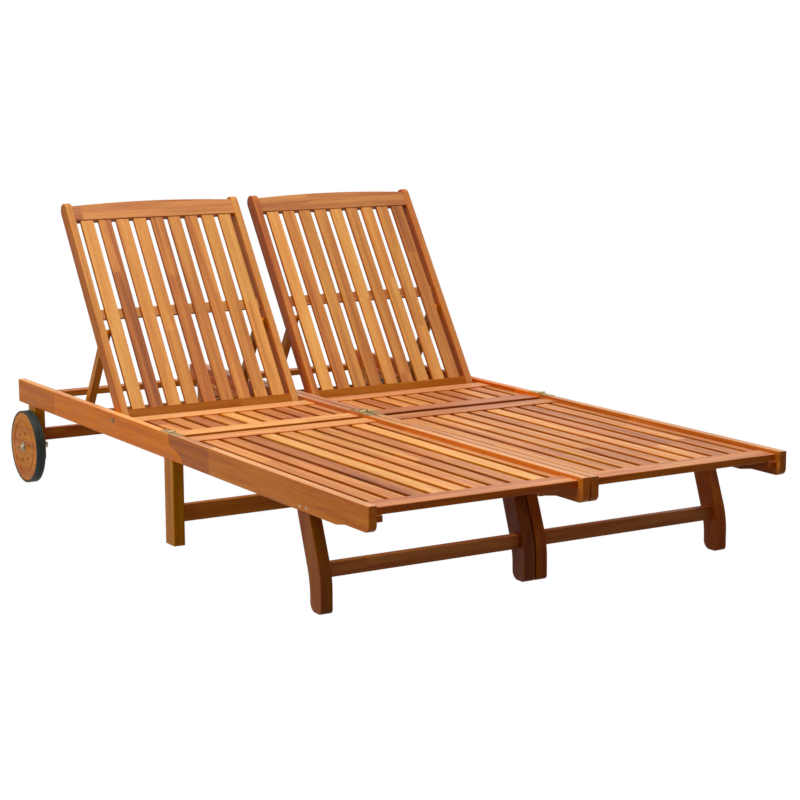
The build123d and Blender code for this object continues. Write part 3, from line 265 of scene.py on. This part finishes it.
def oiled_acacia(name, wood, grain, cells, seed, depth=1.0, richness=1.0, redness=0.0, face=None):
    """Acacia boards, planed and oiled: honey to red-brown, with open pores and a soft sheen.

    The pattern stands in space. Below 1, depth darkens the wood as painted shade, and above 1 it
    lightens it as painted light, set for each group of pieces by how light falls on it. Above 1,
    richness makes its colour stronger, set along with that painted shade, and redness turns it
    from yellow to red. With a direction for the wide face, edges turned away from it are darker
    and richer in colour: painted shade.
    """
    material, tree, shader, place = new_material(name)
    moved, board, chance = timber(tree, place.outputs["Object"], wood, grain, cells, seed)
    rings = growth_rings(tree, moved, wood)
    share = heartwood(tree, moved, wood, board, chance, rings)
    tones = (wood.sap_colour, wood.middle_colour, wood.heart_colour, wood.dark_colour)
    colour = add_node(tree, "ShaderNodeValToRGB", [share],
                      stops=zip(HEART_STOPS, map(opaque, tones))).outputs["Color"]

    # Pores are dark and sawn ends drink oil. Edges turned away from the wide face are darkened and
    # richer in colour: painted shade, which darkens the gaps between slats and the sides of rails.
    pores = streaks(tree, moved, wood.pore_length, wood.pore_width, detail=1.0)
    pores = add_node(tree, "ShaderNodeMapRange", [pores, *PORE_LIMITS, 0.0, 1.0]).outputs[0]
    faint = add_node(tree, "ShaderNodeMath", [pores, wood.pore_strength],
                     operation="MULTIPLY").outputs[0]
    ends = facing(tree, place, grain, SAWN_END_LIMITS, (0.0, 1.0))
    tints = [(faint, wood.pore_colour), (ends, wood.end_colour)]
    if face:
        edges = facing(tree, place, face, EDGE_SHADE_LIMITS, (1.0, 0.0))
        tints.append((edges, wood.edge_painted_shade))
        richness = add_node(tree, "ShaderNodeMath", [edges, wood.edge_shade_richness, richness],
                            operation="MULTIPLY_ADD").outputs[0]
    for factor, tint in tints:
        colour = add_node(tree, "ShaderNodeMix", {
            "Factor_Float": factor, "A_Color": colour, "B_Color": opaque(tint)},
            data_type="RGBA", blend_type="MULTIPLY").outputs[MIXED_COLOUR]

    # Tone differs at random from block to block, about depth: the painted light and shade of the
    # group
    value = add_node(tree, "ShaderNodeMapRange", [
        chance["Green"], 0.0, 1.0, depth * (1 - wood.tone_variation),
        depth * (1 + wood.tone_variation)]).outputs[0]
    tone = add_node(tree, "ShaderNodeHueSaturation", {
        "Hue": UNTURNED_HUE - redness, "Saturation": richness, "Value": value, "Color": colour})
    tree.links.new(tone.outputs["Color"], shader.inputs["Base Color"])

    # Satin oil finish, uneven in patches finer than the streaks, with the pores a little sunk
    sheen = streaks(tree, moved, wood.streak_length * SHEEN_LENGTH_SHARE,
                    wood.streak_width * SHEEN_WIDTH_SHARE, detail=3.0)
    rough = add_node(tree, "ShaderNodeMapRange", [
        sheen, *SHEEN_LIMITS, *(wood.roughness + spread for spread in SHEEN_SPREAD)]).outputs[0]
    tree.links.new(rough, shader.inputs["Roughness"])
    relief = add_node(tree, "ShaderNodeMath", [rings, RING_RELIEF, pores],
                      operation="MULTIPLY_ADD").outputs[0]
    bump = add_node(tree, "ShaderNodeBump", {
        "Strength": WOOD_BUMP, "Distance": wood.pore_depth, "Height": relief}, invert=True)
    tree.links.new(bump.outputs["Normal"], shader.inputs["Normal"])
    shader.inputs["IOR"].default_value = OIL_IOR
    shader.inputs["Specular IOR Level"].default_value = wood.gloss
    return material


def zinc_plated_steel(name, metal, colour, grain_size):
    """Steel, pressed or turned and zinc plated: pale metal with a faint mottle and dull spots."""
    material, tree, shader, place = new_material(name)
    spot_size = SPOT_GRAINS * grain_size
    mottle = streaks(tree, place.outputs["Object"], grain_size, grain_size, detail=5.0,
                     roughness=MOTTLE_ROUGHNESS)
    tarnish = streaks(tree, place.outputs["Object"], spot_size, spot_size, detail=3.0)
    dull = opaque(metal.tarnish_colour)
    worn = add_node(tree, "ShaderNodeValToRGB", [mottle],
                    stops=zip(MOTTLE_STOPS, (dull, opaque(colour)))).outputs["Color"]
    spots = add_node(tree, "ShaderNodeMapRange",
                     [tarnish, *SPOT_LIMITS, 0.0, SPOT_STRENGTH]).outputs[0]
    worn = add_node(tree, "ShaderNodeMix", {
        "Factor_Float": spots, "A_Color": worn, "B_Color": dull},
        data_type="RGBA", blend_type="MIX").outputs[MIXED_COLOUR]
    tree.links.new(worn, shader.inputs["Base Color"])
    rough = add_node(tree, "ShaderNodeMapRange", [
        mottle, *MOTTLE_LIMITS,
        *(metal.roughness + spread for spread in PLATING_SPREAD)]).outputs[0]
    tree.links.new(rough, shader.inputs["Roughness"])
    bump = add_node(tree, "ShaderNodeBump", {
        "Strength": PLATING_BUMP, "Distance": PLATING_DEPTH, "Height": mottle})
    tree.links.new(bump.outputs["Normal"], shader.inputs["Normal"])
    shader.inputs["Metallic"].default_value = 1.0
    return material


def moulded_rubber(name, tyre):
    """Black rubber, moulded: dull, a little dusty, with a fine pebbled skin."""
    material, tree, shader, place = new_material(name)
    dust = streaks(tree, place.outputs["Object"], tyre.dust_size, tyre.dust_size, detail=4.0,
                   roughness=DUST_ROUGHNESS)
    pebble = streaks(tree, place.outputs["Object"], tyre.pebble_size, tyre.pebble_size,
                     detail=2.0)
    tones = (tyre.colour, tyre.dust_colour)
    colour = add_node(tree, "ShaderNodeValToRGB", [dust],
                      stops=zip(DUST_STOPS, map(opaque, tones))).outputs["Color"]
    tree.links.new(colour, shader.inputs["Base Color"])
    rough = add_node(tree, "ShaderNodeMapRange", [
        dust, *DUST_LIMITS, *(tyre.roughness + spread for spread in DUST_SPREAD)]).outputs[0]
    tree.links.new(rough, shader.inputs["Roughness"])
    bump = add_node(tree, "ShaderNodeBump", {
        "Strength": PEBBLE_BUMP, "Distance": PEBBLE_DEPTH, "Height": pebble})
    tree.links.new(bump.outputs["Normal"], shader.inputs["Normal"])
    shader.inputs["IOR"].default_value = RUBBER_IOR
    shader.inputs["Specular IOR Level"].default_value = RUBBER_GLOSS
    return material


# The lounger's pieces
def dress(material, *names):
    """Give a material to the nodes of these names."""
    for name in names:
        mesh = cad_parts[name].data
        mesh.materials.clear()
        mesh.materials.append(material)


def both(*stems):
    """The names of the nodes that the left and the right lounger both have."""
    return [f"{side}_{stem}" for side in SIDES for stem in stems]


def slat_cells(name, row, width):
    """Cells along X that each hold one slat of a node, with their borders in the gaps.

    The slats of the node are this wide, and spaced as in the row.
    """
    low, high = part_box(row)
    pitch = (high[0] - low[0] - width) / (SLAT_COUNT - 1)
    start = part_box(name)[0][0] - (pitch - width) / 2
    return (pitch, WHOLE, WHOLE), (start, -WHOLE / 2, -WHOLE / 2)


# What a user would change
class WoodSettings(bpy.types.PropertyGroup):
    sap_colour: FloatVectorProperty(
        name="Sapwood", description="Colour of the palest wood",
        subtype="COLOR", default=shade("#FBB966"))
    middle_colour: FloatVectorProperty(
        name="Middle wood", description="Colour between sapwood and heartwood",
        subtype="COLOR", default=shade("#EA9F55"))
    heart_colour: FloatVectorProperty(
        name="Heartwood", description="Colour of the heartwood",
        subtype="COLOR", default=shade("#CA7C44"))
    dark_colour: FloatVectorProperty(
        name="Dark heartwood", description="Colour of the darkest heartwood",
        subtype="COLOR", default=shade("#96563A"))
    pore_colour: FloatVectorProperty(
        name="Pores", description="Colour that the pores are multiplied by",
        subtype="COLOR", default=shade("#A87040"))
    end_colour: FloatVectorProperty(
        name="Sawn ends", description="Colour that sawn ends are multiplied by",
        subtype="COLOR", default=shade("#FFF4E8"))
    # Painted shade on edges turned away from a wide face: the colour they are multiplied by, and
    # how much richer their colour is
    edge_painted_shade: FloatVectorProperty(
        name="Edges", description="Colour that edges are multiplied by",
        subtype="COLOR", default=shade("#F0D0A8"))
    edge_shade_richness: FloatProperty(
        name="Edge richness", description="How much stronger the colour of edges is",
        default=0.15, min=0.0, max=1.0)
    board_variation: FloatProperty(
        name="Board variation", description="How far boards differ in heartwood",
        default=0.45, min=0.0, max=1.0)
    block_variation: FloatProperty(
        name="Block variation", description="How far a board's blocks differ",
        default=0.18, min=0.0, max=1.0)
    tone_variation: FloatProperty(
        name="Tone variation", description="How far blocks differ in tone",
        default=0.1, min=0.0, max=1.0)
    block_length: FloatProperty(
        name="Block length", description="Length of a block of timber in a board",
        unit="LENGTH", default=800 * MM)
    finger_length: FloatProperty(
        name="Finger length", description="Length of a joint's fingers",
        unit="LENGTH", default=9 * MM)
    finger_width: FloatProperty(
        name="Finger width", description="Width of a joint's fingers",
        unit="LENGTH", default=4 * MM)
    streak_length: FloatProperty(
        name="Streak length", description="Length of a heartwood streak",
        unit="LENGTH", default=420 * MM)
    streak_width: FloatProperty(
        name="Streak width", description="Width of a heartwood streak",
        unit="LENGTH", default=18 * MM)
    streak_strength: FloatProperty(
        name="Streak strength", description="How strongly the streaks show",
        default=1.0, min=0.0, max=2.0)
    ring_spacing: FloatProperty(
        name="Ring spacing", description="Distance between growth rings",
        unit="LENGTH", default=5.5 * MM)
    ring_strength: FloatProperty(
        name="Ring strength", description="How strongly the rings show",
        default=0.045, min=0.0, max=1.0)
    wander: FloatProperty(
        name="Ring wander", description="How far the rings wander sideways",
        unit="LENGTH", default=34 * MM)
    wander_length: FloatProperty(
        name="Wander length", description="Length over which the rings wander",
        unit="LENGTH", default=500 * MM)
    wander_width: FloatProperty(
        name="Wander width", description="Width over which the rings wander",
        unit="LENGTH", default=40 * MM)
    pore_length: FloatProperty(
        name="Pore length", description="Length of an open pore",
        unit="LENGTH", default=16 * MM)
    pore_width: FloatProperty(
        name="Pore width", description="Width of a pore, coarser than real to show",
        unit="LENGTH", default=0.9 * MM)
    pore_depth: FloatProperty(
        name="Pore depth", description="Depth of a pore",
        unit="LENGTH", default=0.12 * MM)
    pore_strength: FloatProperty(
        name="Pore strength", description="How dark the pores are",
        default=0.35, min=0.0, max=1.0)
    roughness: FloatProperty(
        name="Roughness", description="Roughness of the oil finish",
        default=0.45, min=0.0, max=1.0)
    gloss: FloatProperty(
        name="Gloss", description="Strength of the oil finish's reflections",
        default=0.16, min=0.0, max=1.0)


class MetalSettings(bpy.types.PropertyGroup):
    screw_colour: FloatVectorProperty(
        name="Screws", description="Colour of the brighter screws, pins and bolts",
        subtype="COLOR", default=shade("#B4AC94"))
    dull_colour: FloatVectorProperty(
        name="Dull screws", description="Colour of the frame's screws and the pivot bolts",
        subtype="COLOR", default=shade("#8A6240"))
    hinge_colour: FloatVectorProperty(
        name="Hinges", description="Colour of the hinges' leaves",
        subtype="COLOR", default=shade("#DCC892"))
    tarnish_colour: FloatVectorProperty(
        name="Tarnish", description="Colour of the dull spots",
        subtype="COLOR", default=shade("#7A6A4A"))
    roughness: FloatProperty(
        name="Roughness", description="Roughness of the plating",
        default=0.36, min=0.0, max=1.0)


class TyreSettings(bpy.types.PropertyGroup):
    colour: FloatVectorProperty(
        name="Rubber", description="Colour of the rubber",
        subtype="COLOR", default=shade("#18231F"))
    dust_colour: FloatVectorProperty(
        name="Dust", description="Colour of the dust on the rubber",
        subtype="COLOR", default=shade("#36423B"))
    dust_size: FloatProperty(
        name="Dust size", description="Width of a patch of dust",
        unit="LENGTH", default=18 * MM)
    pebble_size: FloatProperty(
        name="Pebble size", description="Width of a bump of the skin, coarser than real to show",
        unit="LENGTH", default=1.2 * MM)
    roughness: FloatProperty(
        name="Roughness", description="Roughness of the rubber",
        default=0.6, min=0.0, max=1.0)


class StageSettings(bpy.types.PropertyGroup):
    floor_colour: FloatVectorProperty(
        name="Floor", description="Colour of the floor where shadows fall on it",
        subtype="COLOR", default=shade("#E8E8E8"))
    bounce_colour: FloatVectorProperty(
        name="Floor's light", description="Colour of the light off the floor",
        subtype="COLOR", default=shade("#7C7C7C"))
    floor_size: FloatProperty(
        name="Floor size", description="Width of the floor",
        unit="LENGTH", default=60.0)
    shadow_share: FloatProperty(
        name="Shadow", description="Share of the shaded floor near the lounger, nought for none",
        default=0.0, min=0.0, max=1.0)
    shadow_start: FloatProperty(
        name="Shadow start", description="Where the floor begins to fade to white",
        unit="LENGTH", default=1.4)
    shadow_end: FloatProperty(
        name="Shadow end", description="Where the floor is plain white",
        unit="LENGTH", default=3.2)
    ambient: FloatProperty(
        name="Ambient light", description="Strength of the light from all round",
        default=0.15, min=0.0)
    key_power: FloatProperty(
        name="Key light", description="Power of the soft light overhead",
        unit="POWER", default=155.0)
    side_power: FloatProperty(
        name="Side light", description="Power of the soft light from the left",
        unit="POWER", default=70.0)
    camera_place: FloatVectorProperty(
        name="Camera", description="Where the camera stands",
        subtype="TRANSLATION", unit="LENGTH", default=(-2.61894, -4.55098, 1.19015))
    camera_turn: FloatVectorProperty(
        name="Camera angles", description="Azimuth, elevation and roll in degrees",
        default=(-30.99, 9.53, -0.26))
    focal_pixels: FloatProperty(
        name="Focal length", description="Focal length in pixels of the photograph",
        default=2051.25)


# Operators: one for each group of like pieces, and one for the stage. Each group's wood takes its
# own depth and richness, which paint light and shade on it.
class LOUNGER_OT_slats(bpy.types.Operator):
    """Oiled acacia on the slats of the seats, foot sections and backrests"""

    bl_idname = "lounger.slats"
    bl_label = "Slats"

    def execute(self, context):
        wood = context.scene.lounger_wood
        cells = slat_cells("seat_slats", "left_foot_slats", SEAT_SLAT_WIDTH)
        seat = oiled_acacia("acacia_seat_slats", wood, ALONG, cells, seed=23, depth=0.92,
                            richness=0.99, redness=0.004, face=UPRIGHT)
        dress(seat, "seat_slats")
        for side, foot_seed, back_seed in (("left", 3, 11), ("right", 4, 12)):
            foot_name = f"{side}_foot_slats"
            cells = slat_cells(foot_name, "left_foot_slats", SEAT_SLAT_WIDTH)
            foot = oiled_acacia(f"acacia_{foot_name}", wood, ALONG, cells, seed=foot_seed,
                                richness=0.97, face=UPRIGHT)
            dress(foot, foot_name)
            back_name = f"{side}_backrest_slats"
            cells = slat_cells(back_name, "left_backrest_slats", BACK_SLAT_WIDTH)
            back = oiled_acacia(f"acacia_{back_name}", wood, UP_BACKREST, cells, seed=back_seed,
                                depth=0.93, face=OUT_OF_BACKREST)
            dress(back, back_name)
        return {"FINISHED"}


class LOUNGER_OT_rails(bpy.types.Operator):
    """Oiled acacia on the side rails of the frame and foot sections, the ledgers and the racks"""

    bl_idname = "lounger.rails"
    bl_label = "Side rails"

    def execute(self, context):
        wood = context.scene.lounger_wood
        # One wood lit and shaded: the outer rails are painted lighter, painted light, and the
        # inner rails darker and weaker in colour, painted shade.
        outer = oiled_acacia("acacia_frame_rails", wood, ALONG, RAIL_CELLS, seed=31, depth=1.15,
                             richness=0.98, redness=0.008, face=UPRIGHT)
        dress(outer, *both("outer_side_rail"))
        inner = oiled_acacia("acacia_inner_rails", wood, ALONG, RAIL_CELLS, seed=33, depth=0.85,
                             richness=0.85, redness=0.008, face=UPRIGHT)
        dress(inner, *both("inner_side_rail"))
        # The foot rails are copies of one wood at slightly different levels of painted shade, and
        # the ledgers are painted darker: painted shade.
        for side, seed, depth in (("left", 37, 0.95), ("right", 38, 0.92)):
            foot = oiled_acacia(f"acacia_{side}_foot_rails", wood, ALONG, RAIL_CELLS, seed=seed,
                                depth=depth, richness=0.88, redness=0.002, face=UPRIGHT)
            dress(foot, f"{side}_foot_side_rails")
        ledgers = oiled_acacia("acacia_ledgers", wood, ALONG, RAIL_CELLS, seed=41, depth=0.85,
                               richness=0.95, redness=0.004, face=UPRIGHT)
        dress(ledgers, "seat_ledgers", "notched_racks", *both("foot_ledgers"))
        return {"FINISHED"}


class LOUNGER_OT_cross_pieces(bpy.types.Operator):
    """Oiled acacia on the pieces that run across: rails, battens, stretchers, bars and pegs"""

    bl_idname = "lounger.cross_pieces"
    bl_label = "Cross pieces"

    def execute(self, context):
        wood = context.scene.lounger_wood
        rails = oiled_acacia("acacia_cross_rails", wood, ACROSS, CROSS_CELLS, seed=44, depth=0.98,
                             richness=0.95, redness=0.004, face=UPRIGHT)
        dress(rails, "seat_cross_rails",
              *both("foot_front_cross_rail", "foot_rear_cross_rail", "foot_batten"))
        # Stretchers stand in shade under the seat, and their wood is painted darker and richer:
        # painted shade.
        foot = oiled_acacia("acacia_stretchers", wood, ACROSS, CROSS_CELLS, seed=47, depth=0.84,
                            richness=1.05, redness=0.012)
        dress(foot, *both("foot_stretcher"))
        mid = oiled_acacia("acacia_mid_stretchers", wood, ACROSS, CROSS_CELLS, seed=79, depth=0.87,
                           richness=1.1, redness=0.015)
        dress(mid, "mid_stretchers")
        # A darker copy of the mid stretchers' wood for the rear stretchers and head rails: painted
        # shade.
        rear = oiled_acacia("acacia_rear_stretchers", wood, ACROSS, CROSS_CELLS, seed=79,
                            depth=0.58, richness=1.1, redness=0.016)
        dress(rear, "rear_stretchers", "head_cross_rails")
        crests = oiled_acacia("acacia_crest_rails", wood, ACROSS, BACK_CROSS_CELLS, seed=53,
                              depth=0.79, richness=0.98, redness=0.004)
        dress(crests, *both("crest_rail", "backrest_batten", "prop_bar", "prop_pegs"))
        # The backrest's bottom rails are painted much darker and richer: painted shade.
        bottoms = oiled_acacia("acacia_bottom_rails", wood, ACROSS, BACK_CROSS_CELLS, seed=83,
                               depth=0.5, richness=1.12, redness=0.018)
        dress(bottoms, *both("bottom_rail"))
        return {"FINISHED"}


class LOUNGER_OT_uprights(bpy.types.Operator):
    """Oiled acacia on the legs, posts, backrest stiles and prop arms"""

    bl_idname = "lounger.uprights"
    bl_label = "Legs and stiles"

    def execute(self, context):
        wood = context.scene.lounger_wood
        # Posts and legs stand in shade under the seat, and their wood is painted darker and
        # richer: painted shade.
        posts = oiled_acacia("acacia_posts", wood, UPRIGHT, LEG_CELLS, seed=59, depth=0.8,
                             richness=1.28)
        dress(posts, "mid_posts", "wheel_legs", "inner_rear_legs")
        # The left and right foot legs are shaded copies of one wood, the left much darker: painted
        # shade.
        for side, depth in (("left", 0.36), ("right", 0.72)):
            legs = oiled_acacia(f"acacia_{side}_foot_legs", wood, UPRIGHT, LEG_CELLS, seed=74,
                                depth=depth, richness=1.15, redness=0.02)
            dress(legs, f"{side}_foot_legs")
        stiles = oiled_acacia("acacia_stiles", wood, UP_BACKREST, RAIL_CELLS, seed=61, depth=0.86,
                              richness=1.02, redness=0.006, face=OUT_OF_BACKREST)
        dress(stiles, *both("backrest_stiles"))
        arms = oiled_acacia("acacia_prop_arms", wood, DOWN_PROP, RAIL_CELLS, seed=67, depth=1.15,
                            richness=1.1, redness=-0.004)
        dress(arms, *both("prop_arms"))
        return {"FINISHED"}


class LOUNGER_OT_wheels(bpy.types.Operator):
    """Oiled acacia wheel discs and moulded rubber tyres"""

    bl_idname = "lounger.wheels"
    bl_label = "Wheels"

    def execute(self, context):
        discs = oiled_acacia("acacia_wheel_discs", context.scene.lounger_wood, ALONG, RAIL_CELLS,
                             seed=71, depth=0.98, richness=1.4, redness=0.01)
        dress(discs, *both("wheel_disc"))
        dress(moulded_rubber("moulded_rubber", context.scene.lounger_tyre), *both("tyre"))
        return {"FINISHED"}


class LOUNGER_OT_fittings(bpy.types.Operator):
    """Zinc plated screws, bolts and hinges"""

    bl_idname = "lounger.fittings"
    bl_label = "Fittings"

    def execute(self, context):
        metal = context.scene.lounger_metal
        bright = zinc_plated_steel("zinc_plated_screws", metal, metal.screw_colour, SCREW_GRAIN)
        dress(bright, "joining_bolts", "axle_bolts", "hinge_pins", *both("foot_screws"))
        dull = zinc_plated_steel("tarnished_screws", metal, metal.dull_colour, SCREW_GRAIN)
        dress(dull, "frame_screws", "backrest_pivot_bolts")
        leaves = zinc_plated_steel("zinc_plated_leaves", metal, metal.hinge_colour, LEAF_GRAIN)
        dress(leaves, "hinge_frame_leaves", *both("foot_hinge_leaves"))
        return {"FINISHED"}


class LOUNGER_OT_stage(bpy.types.Operator):
    """White floor, soft studio light and the camera of the photograph"""

    bl_idname = "lounger.stage"
    bl_label = "Stage"

    def execute(self, context):
        stage = context.scene.lounger_stage
        half = stage.floor_size / 2
        corners = [(-half, -half, 0), (half, -half, 0), (half, half, 0), (-half, half, 0)]
        mesh = bpy.data.meshes.new("floor")
        mesh.from_pydata(corners, [], [(0, 1, 2, 3)])
        floor = bpy.data.objects.new("floor", mesh)
        context.collection.objects.link(floor)
        mesh.materials.append(matt_paper(stage))
        soft_world(context, stage)
        add_light(context, "key_light", stage.key_power, *KEY_LIGHT)
        add_light(context, "side_light", stage.side_power, *SIDE_LIGHT)
        add_camera(context, stage)
        context.scene.view_settings.view_transform = "Standard"
        return {"FINISHED"}


def seen_directly(tree):
    """One for the camera, glossy and transmission rays that see a white studio, else nought."""
    path = add_node(tree, "ShaderNodeLightPath")
    seen = path.outputs["Is Camera Ray"]
    for name in ("Is Glossy Ray", "Is Transmission Ray"):
        seen = add_node(tree, "ShaderNodeMath", [seen, path.outputs[name]],
                        operation="MAXIMUM").outputs[0]
    return seen


def matt_paper(stage):
    """Matt paper floor: white where it is seen, and grey to the light that falls on it.

    Near the lounger a share of it is lit paper, on which a shadow shows, and that share fades
    with the distance from the middle.
    """
    material, tree, shader, place = new_material("matt_paper_floor")
    shader.inputs["Base Color"].default_value = opaque(stage.floor_colour)
    shader.inputs["Roughness"].default_value = PAPER_ROUGHNESS
    shader.inputs["Specular IOR Level"].default_value = 0.0
    dim = add_node(tree, "ShaderNodeBsdfDiffuse", [opaque(stage.bounce_colour)])
    glow = add_node(tree, "ShaderNodeEmission", [linear("#FFFFFF"), WHITE_STRENGTH])
    away = add_node(tree, "ShaderNodeVectorMath", [place.outputs["Object"]],
                    operation="LENGTH").outputs["Value"]
    white = add_node(tree, "ShaderNodeMapRange", [
        away, stage.shadow_start, stage.shadow_end, 1 - stage.shadow_share, 1.0],
        interpolation_type="SMOOTHSTEP").outputs[0]
    paper = add_node(tree, "ShaderNodeMixShader", [white, shader.outputs[0], glow.outputs[0]])
    floor = add_node(tree, "ShaderNodeMixShader",
                     [seen_directly(tree), dim.outputs[0], paper.outputs[0]])
    tree.links.new(floor.outputs[0], tree.nodes["Material Output"].inputs["Surface"])
    return material


def soft_world(context, stage):
    """White world where it is seen, and a weaker even light to the rest."""
    world = bpy.data.worlds.new("studio")
    world.use_nodes = True
    context.scene.world = world
    tree = world.node_tree
    strength = add_node(tree, "ShaderNodeMapRange", [
        seen_directly(tree), 0.0, 1.0, stage.ambient, WHITE_STRENGTH]).outputs[0]
    background = tree.nodes["Background"]
    background.inputs["Color"].default_value = linear("#FFFFFF")
    tree.links.new(strength, background.inputs["Strength"])


def add_light(context, name, power, width, place, target):
    """A square soft light at a place, turned towards a target."""
    data = bpy.data.lights.new(name, "AREA")
    data.shape = "SQUARE"
    data.size = width
    data.energy = power
    light = bpy.data.objects.new(name, data)
    light.location = place
    aim = Vector(target) - Vector(place)
    light.rotation_euler = aim.to_track_quat("-Z", "Y").to_euler()
    context.collection.objects.link(light)


def add_camera(context, stage):
    """The photograph's camera, aimed by azimuth and elevation and rolled about its direction."""
    azimuth, elevation, roll = (radians(angle) for angle in stage.camera_turn)
    back = Vector((sin(azimuth) * cos(elevation), -cos(azimuth) * cos(elevation), sin(elevation)))
    level = Vector((cos(azimuth), sin(azimuth), 0))
    above = back.cross(level)
    right = level * cos(roll) + above * sin(roll)
    up = above * cos(roll) - level * sin(roll)
    data = bpy.data.cameras.new("camera")
    data.lens = stage.focal_pixels / PHOTO_WIDTH * data.sensor_width
    camera = bpy.data.objects.new("camera", data)
    turn = Matrix((right, up, back)).transposed().to_4x4()
    camera.matrix_world = Matrix.Translation(stage.camera_place) @ turn
    context.collection.objects.link(camera)
    context.scene.camera = camera


class LOUNGER_PT_panel(bpy.types.Panel):
    """Sidebar panel with the operators and the settings that they read"""

    bl_label = "Double chaise lounger"
    bl_idname = "LOUNGER_PT_panel"
    bl_space_type = "VIEW_3D"
    bl_region_type = "UI"
    bl_category = "Lounger"

    def draw(self, context):
        for operator in OPERATORS:
            self.layout.operator(operator.bl_idname)
        for settings, group in SETTINGS.items():
            for name in group.__annotations__:
                self.layout.prop(getattr(context.scene, settings), name)


OPERATORS = (
    LOUNGER_OT_slats, LOUNGER_OT_rails, LOUNGER_OT_cross_pieces, LOUNGER_OT_uprights,
    LOUNGER_OT_wheels, LOUNGER_OT_fittings, LOUNGER_OT_stage)
SETTINGS = {
    "lounger_wood": WoodSettings, "lounger_metal": MetalSettings, "lounger_tyre": TyreSettings,
    "lounger_stage": StageSettings}


def register():
    for name, group in SETTINGS.items():
        bpy.utils.register_class(group)
        setattr(bpy.types.Scene, name, PointerProperty(type=group))
    for operator in OPERATORS:
        bpy.utils.register_class(operator)
    bpy.utils.register_class(LOUNGER_PT_panel)


def unregister():
    bpy.utils.unregister_class(LOUNGER_PT_panel)
    for operator in reversed(OPERATORS):
        bpy.utils.unregister_class(operator)
    for name, group in SETTINGS.items():
        delattr(bpy.types.Scene, name)
        bpy.utils.unregister_class(group)


def main():
    """Dress the lounger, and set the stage."""
    register()
    bpy.ops.lounger.slats()
    bpy.ops.lounger.rails()
    bpy.ops.lounger.cross_pieces()
    bpy.ops.lounger.uprights()
    bpy.ops.lounger.wheels()
    bpy.ops.lounger.fittings()
    bpy.ops.lounger.stage()


if __name__ == "__main__":
    main()
